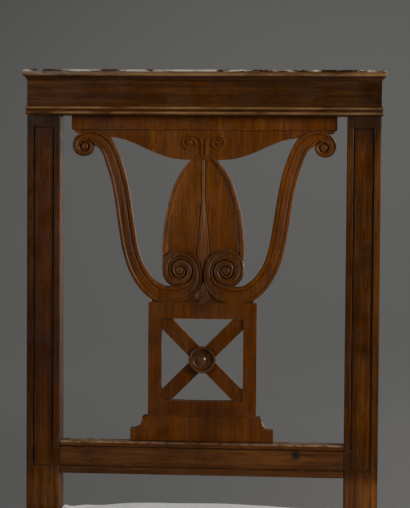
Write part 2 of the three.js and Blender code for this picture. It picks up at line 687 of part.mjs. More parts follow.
function yokeScroll() {
  const front = SPLAT_SETBACK + YOKE_RECESS;
  const z = splatZ(YOKE_SCROLL_DROP);
  const path = curlShares.map(([across, up, width]) => [
    YOKE_SCROLL_SPREAD + across * YOKE_SCROLL_RADIUS, z + up * YOKE_SCROLL_RADIUS, width * YOKE_SCROLL_LINE,
  ]);
  const lineAt = () => [[1, 0], [0.45, 1], [-0.45, 1], [-1, 0]];
  return mouldedBand(path, 2 * (path.length - 1), lineAt, front - YOKE_SCROLL_RELIEF,
    YOKE_SCROLL_RELIEF, front + YOKE_SCROLL_RELIEF);
}

// Bud that fills the space between the two big volutes
function bud() {
  const z = splatZ(BUD_TOP_DROP);
  const budShares = [[0, 0.05], [0.15, 0.38], [0.32, 0.58], [0.48, 0.82], [0.65, 1], [0.8, 0.98], [0.93, 0.75],
    [1, 0.4]];
  const front = SPLAT_SETBACK;
  return loft(budShares.map(([fall, share]) => {
    const half = share * BUD_HALF_WIDTH;
    const level = z - fall * BUD_HEIGHT;
    return [
      [-half, front + LEAF_RECESS, level], [-half * 0.5, front, level], [0, front + LEAF_RECESS / 2, level],
      [half * 0.5, front, level], [half, front + LEAF_RECESS, level],
      [half, SPLAT_BACK, level], [-half, SPLAT_BACK, level],
    ];
  }));
}

// Square frame of the crossed panel
function panelFrame() {
  const half = PANEL_FRAME_HALF_WIDTH;
  const top = splatZ(PANEL_FRAME_DROP);
  const shape = shapeOf([[-half, PLINTH_TOP + GAP], [half, PLINTH_TOP + GAP], [half, top], [-half, top]]);
  const { left, right, bottom, head } = panelOpening();
  const hole = new THREE.Path();
  hole.moveTo(left, bottom);
  hole.quadraticCurveTo(0, bottom - PANEL_OPENING_BOW, right, bottom);
  hole.lineTo(right, head);
  hole.lineTo(left, head);
  hole.closePath();
  shape.holes.push(hole);
  return board(shape, SPLAT_SETBACK, SPLAT_BACK);
}

function panelOpening() {
  const right = PANEL_FRAME_HALF_WIDTH - PANEL_FRAME_STILE;
  return {
    left: -right, right,
    bottom: PLINTH_TOP + GAP + PANEL_FRAME_BOTTOM_RAIL,
    head: splatZ(PANEL_FRAME_DROP + PANEL_FRAME_TOP_RAIL),
  };
}

function panelMiddle() {
  const { bottom, head } = panelOpening();
  return (bottom + head) / 2;
}

// Diagonal bar of the cross, its ends die into the frame
function panelBar(side) {
  const { right, bottom, head } = panelOpening();
  const rise = head - bottom;
  const run = 2 * right;
  const length = Math.hypot(run, rise) + 0.6 * PANEL_FRAME_STILE;
  return new THREE.BoxGeometry(length, SPLAT_THICKNESS - BAR_RECESS, BAR_WIDTH)
    .rotateY(-side * Math.atan2(rise, run))
    .translate(0, SPLAT_BACK - (SPLAT_THICKNESS - BAR_RECESS) / 2, panelMiddle());
}

function voluteBed() {
  const z = splatZ(VOLUTE_DROP);
  const front = SPLAT_SETBACK - ARM_PROUD + ARM_RELIEF + BED_SINK;
  const discs = [1, -1].map((side) => (
    new THREE.CylinderGeometry(VOLUTE_BED_RADIUS, VOLUTE_BED_RADIUS, SPLAT_BACK - front, 2 * ROUND_SIDES)
      .translate(side * VOLUTE_HALF_SPREAD, (SPLAT_BACK + front) / 2, z)));
  const half = PANEL_FRAME_HALF_WIDTH - NECK_END_INSET;
  const neck = slab([-half, half], [front, SPLAT_BACK],
    [splatZ(PANEL_FRAME_DROP + OVERRUN), z - VOLUTE_BED_RADIUS]);
  return [...discs, neck];
}

function scrollBed() {
  const front = SPLAT_SETBACK - ARM_PROUD + ARM_RELIEF + BED_SINK;
  const radius = SCROLL_RADIUS * 0.62;
  return new THREE.CylinderGeometry(radius, radius, SPLAT_BACK - front, 2 * ROUND_SIDES)
    .translate(SCROLL_HALF_SPREAD, (SPLAT_BACK + front) / 2, splatZ(SCROLL_DROP));
}

function addSplat() {
  const crest = SPLAT_SETBACK - ARM_PROUD;
  const rightHalf = [
    splatArm(), yokeScroll(), scrollBed(),
    spiralEye(SCROLL_HALF_SPREAD, splatZ(SCROLL_DROP), SCROLL_EYE_RADIUS, crest + EYE_DOME, EYE_DOME),
    spiralEye(VOLUTE_HALF_SPREAD, splatZ(VOLUTE_DROP), VOLUTE_EYE_RADIUS, crest + EYE_DOME, EYE_DOME),
    spiralEye(YOKE_SCROLL_SPREAD, splatZ(YOKE_SCROLL_DROP), YOKE_SCROLL_EYE_RADIUS,
      SPLAT_SETBACK + YOKE_RECESS, YOKE_SCROLL_RELIEF),
  ];
  const pieces = [
    ...rightHalf, ...rightHalf.map(mirrored), leaf(), bud(), ...voluteBed(),
    board(yokeOutline(), SPLAT_SETBACK + YOKE_RECESS, SPLAT_BACK),
    board(plateOutline(), SPLAT_SETBACK, SPLAT_BACK),
    panelFrame(), panelBar(1), panelBar(-1), slab(...splatTongueTop()), slab(...splatTongueFoot()),
  ].map(solidOf);
  const splat = joined(pieces).subtract(solidOf(rosetteSpigot(GAP)));
  place(back, 'lyre_splat', geometryOf(mainBody(splat)), splatWalnut);
}

// Turned rosette over the crossing, with a spigot in the splat

function rosetteSpigot(grow = 0) {
  const seat = SPLAT_SETBACK + BAR_RECESS;
  return roundPeg(ROSETTE_SPIGOT_RADIUS + grow, seat - OVERRUN, seat + ROSETTE_SPIGOT_LENGTH + grow, 0, panelMiddle());
}

function addRosette() {
  const rim = ROSETTE_RADIUS - ROSETTE_RIM;
  const dish = ROSETTE_HEIGHT * 0.45;
  const profile = [
    [0, 0], [ROSETTE_RADIUS * 0.95, 0], [ROSETTE_RADIUS, ROSETTE_HEIGHT * 0.2],
    [ROSETTE_RADIUS, ROSETTE_HEIGHT * 0.55], [ROSETTE_RADIUS * 0.94, ROSETTE_HEIGHT * 0.85],
    [rim + ROSETTE_RIM * 0.35, ROSETTE_HEIGHT * 0.9], [rim, ROSETTE_HEIGHT * 0.5],
    [rim - ROSETTE_RIM * 0.25, ROSETTE_HEIGHT * 0.68], [rim - ROSETTE_RIM * 0.6, dish],
    [ROSETTE_BUTTON * 1.15, dish], [ROSETTE_BUTTON, ROSETTE_HEIGHT * 0.8],
    [ROSETTE_BUTTON * 0.6, ROSETTE_HEIGHT], [0, ROSETTE_HEIGHT],
  ].map(([radius, height]) => new THREE.Vector2(radius, height));
  const disc = new THREE.LatheGeometry(profile, 2 * ROUND_SIDES)
    .rotateX(Math.PI)
    .translate(0, SPLAT_SETBACK + BAR_RECESS - GAP, panelMiddle());
  place(back, 'splat_rosette', geometryOf(solidOf(disc).add(solidOf(rosetteSpigot()))), splatWalnut);
}

// Plinth under the crossed panel, its ends swept out in a hollow

function addPlinth() {
  const bottom = LOWER_RAIL_TOP + GAP;
  const shape = new THREE.Shape();
  const shoulder = PLINTH_TOP_HALF_WIDTH + PLINTH_SHOULDER;
  shape.moveTo(-PLINTH_HALF_WIDTH, bottom);
  shape.lineTo(PLINTH_HALF_WIDTH, bottom);
  shape.lineTo(PLINTH_HALF_WIDTH, bottom + PLINTH_FILLET);
  shape.quadraticCurveTo(shoulder, bottom + PLINTH_FILLET, shoulder, PLINTH_TOP - PLINTH_SHOULDER);
  shape.lineTo(PLINTH_TOP_HALF_WIDTH, PLINTH_TOP);
  shape.lineTo(-PLINTH_TOP_HALF_WIDTH, PLINTH_TOP);
  shape.lineTo(-shoulder, PLINTH_TOP - PLINTH_SHOULDER);
  shape.quadraticCurveTo(-shoulder, bottom + PLINTH_FILLET, -PLINTH_HALF_WIDTH, bottom + PLINTH_FILLET);
  const body = solidOf(board(shape, SPLAT_SETBACK - PLINTH_PROUD, SPLAT_BACK, 6));
  const slot = solidOf(slab(...splatTongueFoot(), GAP));
  place(back, 'splat_plinth', geometryOf(body.subtract(slot).add(solidOf(slab(...plinthTongue())))), splatWalnut);
}

// Seat frame joints as ranges

const tenonHeight = [RAIL_BOTTOM + TENON_SHOULDER, RAIL_TOP - TENON_SHOULDER];

function sideRailTenonAtPost(side) {
  const middle = HALF_BACK - SEAT_RAIL_THICKNESS / 2;
  return [
    span(side * (middle - TENON_THICKNESS / 2), side * (middle + TENON_THICKNESS / 2)),
    [-GAP, TENON_LENGTH], tenonHeight,
  ];
}

function backRailTenon(side) {
  const middle = BACK_RAIL_SETBACK + SEAT_RAIL_THICKNESS / 2;
  return [
    span(side * (POST_INNER - GAP), side * (POST_INNER + TENON_LENGTH)),
    [middle - TENON_THICKNESS / 2, middle + TENON_THICKNESS / 2], tenonHeight,
  ];
}

// Seat rails and front legs

const halfRailAt = (y) => THREE.MathUtils.mapLinear(y, 0, LEG_BACK, HALF_BACK, HALF_FRONT);

function sideRailTenonAtLeg(side) {
  const middle = HALF_FRONT - SEAT_RAIL_THICKNESS / 2;
  return [
    span(side * (middle - TENON_THICKNESS / 2), side * (middle + TENON_THICKNESS / 2)),
    [LEG_BACK - TENON_LENGTH, LEG_BACK + GAP], tenonHeight,
  ];
}

function frontRailTenon(side) {
  const middle = -SEAT_DEPTH + SEAT_RAIL_THICKNESS / 2;
  return [
    span(side * (LEG_INNER - GAP), side * (LEG_INNER + TENON_LENGTH)),
    [middle - TENON_THICKNESS / 2, middle + TENON_THICKNESS / 2], tenonHeight,
  ];
}

// The same tenon, run back into the rail it belongs to
function rooted([x, y, z], rootX, rootY) {
  const grow = ([low, high], root) => [low + Math.min(root, 0), high + Math.max(root, 0)];
  return solidOf(slab(grow(x, rootX), grow(y, rootY), z));
}

function sideRail(side) {
  const inside = (half) => half - SEAT_RAIL_THICKNESS;
  const outline = [
    [side * HALF_BACK, -GAP], [side * HALF_FRONT, LEG_BACK + GAP],
    [side * inside(HALF_FRONT), LEG_BACK + GAP], [side * inside(HALF_BACK), -GAP],
  ];
  const body = solidOf(plan(side > 0 ? outline.reverse() : outline, RAIL_BOTTOM, RAIL_TOP));
  return joined([
    body, rooted(sideRailTenonAtPost(side), 0, -OVERRUN), rooted(sideRailTenonAtLeg(side), 0, OVERRUN),
  ]);
}

function crossRail(half, front, tenonOf) {
  const body = solidOf(slab([-half, half], [front, front + SEAT_RAIL_THICKNESS], [RAIL_BOTTOM, RAIL_TOP]));
  return joined([body, rooted(tenonOf(1), -OVERRUN, 0), rooted(tenonOf(-1), OVERRUN, 0)]);
}

function frontLeg(side) {
  const middle = side * (HALF_FRONT - FRONT_LEG_WIDTH / 2);
  const level = (z, width) => ({
    z, half: width / 2, front: LEG_BACK - (FRONT_LEG_WIDTH + width) / 2, back: LEG_BACK - (FRONT_LEG_WIDTH - width) / 2,
  });
  const body = stack([
    level(0, FRONT_FOOT_WIDTH - 2 * EDGE_ROUND), level(EDGE_ROUND, FRONT_FOOT_WIDTH),
    level(RAIL_BOTTOM, FRONT_LEG_WIDTH), level(RAIL_TOP, FRONT_LEG_WIDTH),
  ], middle);
  const mortises = [sideRailTenonAtLeg(side), frontRailTenon(side)].map((range) => solidOf(slab(...range, GAP)));
  return geometryOf(cut(solidOf(body), mortises));
}

// Corner blocks, each held by a screw into either rail

const blockTop = RAIL_TOP - BLOCK_DROP;

function cornerBlock(side, end) {
  const innerAt = (y) => halfRailAt(y) - SEAT_RAIL_THICKNESS - GAP;
  const front = end === 'front';
  const postX = (front ? LEG_INNER : POST_INNER) - GAP;
  const postY = front ? LEG_BACK + GAP : -GAP;
  const railY = front ? -SEAT_DEPTH + SEAT_RAIL_THICKNESS + GAP : BACK_RAIL_SETBACK - GAP;
  const into = front ? 1 : -1;
  const onCross = [postX - BLOCK_REACH, railY];
  const sideY = postY + into * BLOCK_REACH;
  const onSide = [innerAt(sideY), sideY];
  const outline = [onSide, [innerAt(postY), postY], [postX, postY], [postX, railY], onCross]
    .map(([x, y]) => [side * x, y]);
  const turned = THREE.ShapeUtils.isClockWise(outline.map(([x, y]) => new THREE.Vector2(x, y)));
  const along = (share) => [
    side * THREE.MathUtils.lerp(onCross[0], onSide[0], share),
    THREE.MathUtils.lerp(onCross[1], onSide[1], share),
  ];
  return {
    solid: solidOf(plan(turned ? outline.reverse() : outline, blockTop - BLOCK_HEIGHT, blockTop)),
    screws: [
      { word: 'side', at: along(0.7), way: [side, 0] },
      { word: 'cross', at: along(0.3), way: [0, -into] },
    ],
  };
}

// A screw or its hole, headed towards the middle of the seat and driven along +-X or +-Y
function screw([x, y], [wayX, wayY], grow = 0) {
  const headTop = grow > 0 ? -3 * SCREW_HEAD_RADIUS : 0;
  const profile = [
    [0, headTop], [SCREW_HEAD_RADIUS + grow, headTop], [SCREW_HEAD_RADIUS + grow, SCREW_HEAD_HEIGHT * 0.3 + grow],
    [SCREW_RADIUS + grow, SCREW_HEAD_HEIGHT + grow], [SCREW_RADIUS + grow, SCREW_LENGTH - SCREW_HEAD_HEIGHT + grow],
    [0, SCREW_LENGTH + grow],
  ].map(([radius, depth]) => new THREE.Vector2(radius, depth));
  return new THREE.LatheGeometry(profile, ROUND_SIDES)
    .rotateZ(-Math.PI / 2)
    .rotateZ(Math.atan2(wayY, wayX))
    .translate(x + wayX * SCREW_SINK, y + wayY * SCREW_SINK, blockTop - BLOCK_HEIGHT / 2);
}

function addSeatFrame() {
  const rails = {
    right_seat_rail: sideRail(1),
    left_seat_rail: sideRail(-1),
    front_seat_rail: crossRail(LEG_INNER - GAP, -SEAT_DEPTH, frontRailTenon),
    back_seat_rail: crossRail(POST_INNER - GAP, BACK_RAIL_SETBACK, backRailTenon),
  };
  ['front', 'back'].forEach((end) => {
    [['left', -1], ['right', 1]].forEach(([hand, side]) => {
      const { solid, screws } = cornerBlock(side, end);
      const holes = screws.map(({ at, way }) => solidOf(screw(at, way, GAP)));
      place(chair, `${end}_${hand}_corner_block`, geometryOf(cut(solid, holes)), paleWood);
      const sideName = `${hand}_seat_rail`;
      const crossName = `${end}_seat_rail`;
      rails[sideName] = rails[sideName].subtract(holes[0]);
      rails[crossName] = rails[crossName].subtract(holes[1]);
      screws.forEach(({ word, at, way }) => {
        place(chair, `${end}_${hand}_block_screw_${word}`, screw(at, way), iron);
      });
    });
  });
  Object.entries(rails).forEach(([name, solid]) => place(chair, name, geometryOf(solid), paleWood));
  place(chair, 'front_leg_right', frontLeg(1), walnut);
  place(chair, 'front_leg_left', frontLeg(-1), walnut);
}

// Webbing: three strips each way, woven over and under

const webBottom = RAIL_TOP + GAP;
const webX = [-1, 0, 1].map((step) => step * WEB_SIDE_PITCH);
const webY = [0, 0.5, 1].map((share) => (
  THREE.MathUtils.lerp(-SEAT_DEPTH + WEB_FRONT_INSET, -WEB_BACK_INSET, share)));

// Side view of one strip that steps over every other strip it meets
function webProfile(start, end, crossings, isOver) {
  const lift = WEB_THICKNESS + GAP;
  const flat = WEB_WIDTH / 2 + GAP;
  const path = [[start, 0]];
  crossings.forEach((middle, i) => {
    if (isOver(i)) {
      path.push([middle - flat - WEB_RAMP, 0], [middle - flat, lift], [middle + flat, lift],
        [middle + flat + WEB_RAMP, 0]);
    }
  });
  path.push([end, 0]);
  const below = path.map(([a, z]) => [a, webBottom + z]);
  const above = path.map(([a, z]) => [a, webBottom + z + WEB_THICKNESS]).reverse();
  return shapeOf([...below, ...above]);
}

function addWebbing() {
  const tuck = SEAT_RAIL_THICKNESS / 2;
  webX.forEach((x, i) => {
    const profile = webProfile(-SEAT_DEPTH + tuck, BACK_RAIL_REAR - tuck, webY, (j) => (i + j) % 2 === 0);
    place(chair, `long_web_${i + 1}`, sideways(profile, x - WEB_WIDTH / 2, x + WEB_WIDTH / 2), jute);
  });
  webY.forEach((y, j) => {
    const half = halfRailAt(y) - tuck;
    const profile = webProfile(-half, half, webX, (i) => (i + j) % 2 === 1);
    place(chair, `cross_web_${j + 1}`, board(profile, y - WEB_WIDTH / 2, y + WEB_WIDTH / 2), jute);
  });
}

// Hessian laid over the webbing

const hessianBottom = webBottom + 2 * WEB_THICKNESS + 2 * GAP;
const padBottom = hessianBottom + HESSIAN_THICKNESS + GAP;

function addHessian() {
  const notch = -2 * GAP - COVER_THICKNESS - HESSIAN_MARGIN;
  const half = [
    [HALF_FRONT - HESSIAN_MARGIN, -SEAT_DEPTH + HESSIAN_MARGIN],
    [HALF_BACK - HESSIAN_MARGIN, notch],
    [POST_INNER - HESSIAN_MARGIN, notch],
    [POST_INNER - HESSIAN_MARGIN, BACK_RAIL_REAR - HESSIAN_MARGIN],
  ];
  const outline = [...half, ...half.map(([x, y]) => [-x, y]).reverse()];
  place(chair, 'hessian', plan(outline, hessianBottom, hessianBottom + HESSIAN_THICKNESS), jute);
}

// Seat covering and stuffing share one form: an outline round the rails and between the posts,
// drawn in at the rails, swelling to a soft shoulder and rising to a crown

function divided(from, to, parts) {
  return [...Array(parts).keys()].map((i) => [
    THREE.MathUtils.lerp(from[0], to[0], i / parts), THREE.MathUtils.lerp(from[1], to[1], i / parts),
  ]);
}

function coverOutline() {
  const skin = GAP + COVER_THICKNESS;
  const frontY = -SEAT_DEPTH - skin;
  const sideX = HALF_FRONT + skin;
  const round = COVER_THICKNESS;
  const backY = BACK_RAIL_REAR + skin;
  const low = (points, swell) => points.map(([x, y]) => ({ x, y, swell, tucked: false }));
  const tucked = (points) => points.map(([x, y]) => ({ x, y, swell: 0, tucked: true }));
  const snip = 2 * skin;
  const sideEnd = [halfRailAt(-snip) + skin, -GAP - snip];
  const backEnd = [POST_INNER - GAP - snip, backY];
  const half = [
    ...low(divided([0, frontY], [sideX - round, frontY], 4), 1),
    ...low([[sideX - round, frontY], [sideX - round * 0.3, frontY + round * 0.3], [sideX, frontY + round]], 0.45),
    ...low(divided([sideX, LEG_BACK], sideEnd, 6), 1),
    ...low([sideEnd], 0.2),
    ...tucked([
      [HALF_BACK + skin, -GAP], [HALF_BACK - POST_WIDTH / 2, -GAP], [POST_INNER - GAP, -GAP],
      [POST_INNER - GAP, backY],
    ]),
    ...low([backEnd], 0.2),
    ...low(divided(backEnd, [0, backY], 4).slice(1), 0.8),
  ];
  const otherHalf = half.slice(1).map((point) => ({ ...point, x: -point.x })).reverse();
  return [...half, { x: 0, y: backY, swell: 0.8, tucked: false }, ...otherHalf];
}

// Moves each outline point inwards by an even distance
function inset(points, distance) {
  const count = points.length;
  return points.map((point, i) => {
    const before = points[(i + count - 1) % count];
    const after = points[(i + 1) % count];
    const normalOf = (a, b) => {
      const length = Math.hypot(b.x - a.x, b.y - a.y);
      return [(b.y - a.y) / length, -(b.x - a.x) / length];
    };
    const [ax, ay] = normalOf(before, point);
    const [bx, by] = normalOf(point, after);
    const scale = 1 / (1 + ax * bx + ay * by);
    const normal = [(ax + bx) * scale, (ay + by) * scale];
    return { ...point, x: point.x - normal[0] * distance, y: point.y - normal[1] * distance, normal };
  });
}

// Shares of the swell and of the rise from the rails to the seat's edge
const shoulderShares = [[0, 0], [0.45, 0.3], [0.9, 0.58], [1, 0.78], [0.62, 0.94]];
// Shares of the way in to the middle
const crownShares = [0.03, 0.1, 0.24, 0.46, 0.72];
const seatMiddle = [0, (BACK_RAIL_REAR - SEAT_DEPTH) / 2];

// Height of the crown over the seat's edge, flat at the edge and full in the middle
function crownAt(x, y) {
  const across = Math.abs(x) / (halfRailAt(y) + GAP + COVER_THICKNESS);
  const along = Math.abs(y - seatMiddle[1]) / (seatMiddle[1] + SEAT_DEPTH + GAP + COVER_THICKNESS);
  const fall = (share) => 1 - Math.min(share, 1) ** 2.6;
  return SEAT_CROWN * fall(across) * fall(along);
}

function seatRings(skin, drop) {
  const outline = inset(coverOutline(), skin);
  const edge = SEAT_EDGE_HEIGHT - (padBottom - RAIL_TOP) - drop;
  const shoulder = shoulderShares.map(([swell, rise]) => outline.map((point) => [
    point.x + point.normal[0] * swell * point.swell * SEAT_BULGE,
    point.y + point.normal[1] * swell * point.swell * SEAT_BULGE,
    padBottom + rise * edge,
  ]));
  const top = crownShares.map((way) => outline.map((point) => {
    const x = THREE.MathUtils.lerp(point.x, seatMiddle[0], way);
    const y = THREE.MathUtils.lerp(point.y, seatMiddle[1], way);
    return [x, y, padBottom + edge + crownAt(x, y)];
  }));
  const foot = outline.map((point) => [
    point.x, point.y, point.tucked ? webBottom : RAIL_BOTTOM + COVER_LIFT,
  ]);
  return { foot, rings: [...shoulder, ...top], apex: [...seatMiddle, padBottom + edge + SEAT_CROWN] };
}

function skinFaces(ringCount, count, apex, offset) {
  const faces = [];
  for (let ring = 0; ring < ringCount; ring += 1) {
    for (let i = 0; i < count; i += 1) {
      const next = (i + 1) % count;
      const a = offset + ring * count + i;
      const b = offset + ring * count + next;
      if (ring + 1 < ringCount) {
        faces.push(a, b, b + count, a, b + count, a + count);
      } else {
        faces.push(a, b, apex);
      }
    }
  }
  return faces;
}

function addCover() {
  const outer = seatRings(0, 0);
  const inner = seatRings(COVER_THICKNESS, COVER_THICKNESS);
  const count = outer.foot.length;
  const layers = [outer, inner].map(({ foot, rings, apex }) => [...[foot, ...rings].flat(), apex]);
  const stride = layers[0].length;
  const ringCount = outer.rings.length + 1;
  const outside = skinFaces(ringCount, count, stride - 1, 0);
  const inside = skinFaces(ringCount, count, 2 * stride - 1, stride);
  const faces = [...outside];
  for (let i = 0; i < inside.length; i += 3) {
    faces.push(inside[i], inside[i + 2], inside[i + 1]);
  }
  for (let i = 0; i < count; i += 1) {
    const next = (i + 1) % count;
    faces.push(i, i + stride, next + stride, i, next + stride, next);
  }
  place(chair, 'cotton_cover', facingOut(layers.flat(2), faces), cotton);
}

function addStuffing() {
  const skin = COVER_THICKNESS + 2 * GAP;
  const { rings, apex } = seatRings(skin, skin);
  const count = rings[0].length;
  const positions = [...rings.flat(), apex, [...seatMiddle, padBottom]];
  const faces = skinFaces(rings.length, count, count * rings.length, 0);
  const base = positions.length - 1;
  for (let i = 0; i < count; i += 1) {
    faces.push(base, (i + 1) % count, i);
  }
  place(chair, 'stuffing', facingOut(positions.flat(), faces), hair);
}

// Puts the origin on the floor under the middle of the chair's outer size
function centreOnFloor() {
  chair.updateMatrixWorld(true);
  const middle = new THREE.Box3().setFromObject(chair, true).getCenter(new THREE.Vector3());
  chair.position.set(-middle.x, -middle.y, 0);
  chair.updateMatrixWorld(true);
}

addPosts();
addCrest();
addLowerRail();
addPegs();
addSplat();
addRosette();
addPlinth();
addSeatFrame();
addWebbing();
addHessian();
addStuffing();
addCover();
centreOnFloor();

export default chair;
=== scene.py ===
"""The lyre back chair's looks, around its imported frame: finishes, cotton cover, tacks, camera and studio."""
import math
import random

import bmesh
import bpy
from mathutils import Matrix, Vector, noise


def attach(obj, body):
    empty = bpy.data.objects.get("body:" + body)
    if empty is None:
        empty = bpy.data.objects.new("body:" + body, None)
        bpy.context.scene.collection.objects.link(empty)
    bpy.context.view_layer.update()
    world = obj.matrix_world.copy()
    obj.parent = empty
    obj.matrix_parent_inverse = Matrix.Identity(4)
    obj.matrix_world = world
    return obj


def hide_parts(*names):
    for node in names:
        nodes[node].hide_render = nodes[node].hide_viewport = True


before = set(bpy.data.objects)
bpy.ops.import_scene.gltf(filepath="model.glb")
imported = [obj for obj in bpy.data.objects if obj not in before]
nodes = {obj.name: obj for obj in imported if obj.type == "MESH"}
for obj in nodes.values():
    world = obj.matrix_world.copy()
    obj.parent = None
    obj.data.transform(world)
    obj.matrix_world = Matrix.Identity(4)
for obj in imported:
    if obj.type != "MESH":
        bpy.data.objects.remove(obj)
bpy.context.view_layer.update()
random.seed(7)

# The chair's back is drawn upright and tipped as a whole, so places on it are given in its own frame.
SHIFT = 0.15084
SEAT_LEVEL = 0.445
RAKE = 8
BACK = Matrix.Translation((0, SHIFT, SEAT_LEVEL)) @ Matrix.Rotation(math.radians(-RAKE), 4, "X")
UNTIPPED = tuple(Matrix.Rotation(math.radians(RAKE), 4, "X") @ Vector((0, -SHIFT, -SEAT_LEVEL)))

# The seat in metres: heights above the floor, and y counted from the posts' front faces
COVER_HEM = 0.362
HALF_FRONT, HALF_BACK = 0.2369, 0.2169
FRONT_Y, MIDDLE_Y, BACK_Y = -0.4019, -0.186, 0.0299
SIDE_RUN = 0.36
POST_INNER, POST_OUTER = 0.174, 0.215
CLOTH_GAP = 0.0003
# Up to this height the cover lies flat on the rails
SIDES_END = 0.4205


# Materials

# Dark, middle and light tone of each wood and of jute
FRAME_TONES = ((0.023, 0.0066, 0.0007), (0.061, 0.0182, 0.0016), (0.122, 0.042, 0.0060))
SPLAT_TONES = ((0.070, 0.0200, 0.0015), (0.122, 0.0355, 0.0030), (0.185, 0.060, 0.0075))
ROSETTE_TONES = ((0.050, 0.0170, 0.0050), (0.088, 0.0330, 0.0105), (0.135, 0.054, 0.019))
RAIL_TONES = ((0.034, 0.0108, 0.0016), (0.074, 0.0240, 0.0042), (0.135, 0.050, 0.012))
BARE_TONES = ((0.15, 0.085, 0.042), (0.26, 0.16, 0.085), (0.36, 0.24, 0.14))
JUTE_TONES = ((0.12, 0.08, 0.04), (0.30, 0.21, 0.11), (0.42, 0.32, 0.19))

# Pitch and depth of the threads, the webs' spacing, and how far their stripes run from the middle
WEB_WEAVE, HESSIAN_WEAVE = (0.0022, 0.0006), (0.0014, 0.0004)
WEB_SPACING, STRIPE_FROM_MIDDLE = 0.1, 0.018
CALICO_PITCH = 0.0005


class Shader:
    """One procedural material, built up node by node. A raked one is measured in the back's own frame."""

    def __init__(self, name, raked=False):
        self.material = bpy.data.materials.new(name)
        self.material.use_nodes = True
        self.tree = self.material.node_tree
        self.surface = self.tree.nodes["Principled BSDF"]
        self.place = self.add("TexCoord").outputs["Object"]
        if raked:
            self.place = self.mapped(self.place, turn=(math.radians(RAKE), 0, 0), shift=UNTIPPED)

    def add(self, kind, **settings):
        node = self.tree.nodes.new("ShaderNode" + kind)
        for key, value in settings.items():
            setattr(node, key, value)
        return node

    def feed(self, socket, value):
        if isinstance(value, bpy.types.NodeSocket):
            self.tree.links.new(value, socket)
        elif isinstance(value, tuple) and len(value) == 3 and socket.type == "RGBA":
            socket.default_value = (*value, 1)
        else:
            socket.default_value = value

    def mapped(self, vector, scale=(1, 1, 1), turn=(0, 0, 0), shift=(0, 0, 0)):
        node = self.add("Mapping")
        self.feed(node.inputs["Vector"], vector)
        self.feed(node.inputs["Scale"], scale)
        self.feed(node.inputs["Rotation"], turn)
        self.feed(node.inputs["Location"], shift)
        return node.outputs["Vector"]

    def math(self, operation, *values, clamp=False):
        node = self.add("Math", operation=operation, use_clamp=clamp)
        for socket, value in zip(node.inputs, values):
            self.feed(socket, value)
        return node.outputs["Value"]

    def times(self, product, *factors, clamp=False):
        for factor in factors:
            product = self.math("MULTIPLY", product, factor, clamp=clamp)
        return product

    def plus(self, total, *values):
        for value in values:
            total = self.math("ADD", total, value)
        return total

    def magnitude(self, value):
        return self.math("ABSOLUTE", value)

    def either(self, a, b):
        return self.math("MAXIMUM", a, b)

    def noise(self, vector, scale, detail, rough, distortion=0):
        """A cloudy pattern with about as many lumps a metre as its scale."""
        node = self.add("TexNoise")
        self.feed(node.inputs["Vector"], vector)
        self.feed(node.inputs["Scale"], scale)
        self.feed(node.inputs["Detail"], detail)
        self.feed(node.inputs["Roughness"], rough)
        self.feed(node.inputs["Distortion"], distortion)
        return node.outputs["Fac"]

    def range(self, value, low, high, to_low=0, to_high=1):
        """Carries low to to_low and high to to_high, and holds both ends."""
        node = self.add("MapRange", clamp=True)
        for key, amount in (("Value", value), ("From Min", low), ("From Max", high),
                            ("To Min", to_low), ("To Max", to_high)):
            self.feed(node.inputs[key], amount)
        return node.outputs["Result"]

    def ramp(self, value, *stops):
        node = self.add("ValToRGB")
        self.feed(node.inputs["Fac"], value)
        elements = node.color_ramp.elements
        while len(elements) < len(stops):
            elements.new(0.5)
        for element, (at, colour) in zip(elements, stops):
            element.position = at
            element.color = (*colour, 1)
        return node.outputs["Color"]

    def mix(self, share, a, b, blend="MIX"):
        node = self.add("Mix", data_type="RGBA", blend_type=blend)
        sockets = {s.identifier: s for s in node.inputs}
        self.feed(sockets["Factor_Float"], share)
        self.feed(sockets["A_Color"], a)
        self.feed(sockets["B_Color"], b)
        return next(s for s in node.outputs if s.identifier == "Result_Color")

    def tinted(self, share, colour, tint):
        """The colour multiplied by a tint, in the given share."""
        return self.mix(share, colour, self.mix(1.0, colour, tint, "MULTIPLY"))

    def axes(self):
        node = self.add("SeparateXYZ")
        self.feed(node.inputs[0], self.place)
        return node.outputs["X"], node.outputs["Y"], node.outputs["Z"]

    def near(self, value, centre, reach):
        """One at a coordinate's centre value, falling to nothing at the reach."""
        away = self.magnitude(self.math("SUBTRACT", value, centre))
        return self.range(away, 0, reach, to_low=1, to_high=0)

    def spot(self, across, up, centre, radius):
        """One at the centre of a round spot on the front, falling to nothing at its radius."""
        dx = self.math("SUBTRACT", across, centre[0])
        dz = self.math("SUBTRACT", up, centre[1])
        away = self.math("SQRT", self.plus(self.times(dx, dx), self.times(dz, dz)))
        return self.range(away, 0, radius, to_low=1, to_high=0)

    def edges(self, radius):
        """How sharply the surface turns within a radius: bright on worn arrises."""
        bevel = self.add("Bevel", samples=4)
        self.feed(bevel.inputs["Radius"], radius)
        likeness = self.add("VectorMath", operation="DOT_PRODUCT")
        self.feed(likeness.inputs[0], bevel.outputs["Normal"])
        self.feed(likeness.inputs[1], self.add("NewGeometry").outputs["Normal"])
        return self.math("SUBTRACT", 1, likeness.outputs["Value"], clamp=True)

    def hollows(self, distance):
        """How enclosed the surface is: bright where dirt gathers and where shade falls in folds."""
        node = self.add("AmbientOcclusion", samples=6, only_local=True)
        self.feed(node.inputs["Distance"], distance)
        return self.math("SUBTRACT", 1, node.outputs["AO"])

    def bump(self, height, strength, distance, under=None):
        """Relief from a height pattern, laid over another bump if there is one."""
        node = self.add("Bump")
        self.feed(node.inputs["Height"], height)
        self.feed(node.inputs["Strength"], strength)
        self.feed(node.inputs["Distance"], distance)
        if under is not None:
            self.feed(node.inputs["Normal"], under)
        return node.outputs["Normal"]

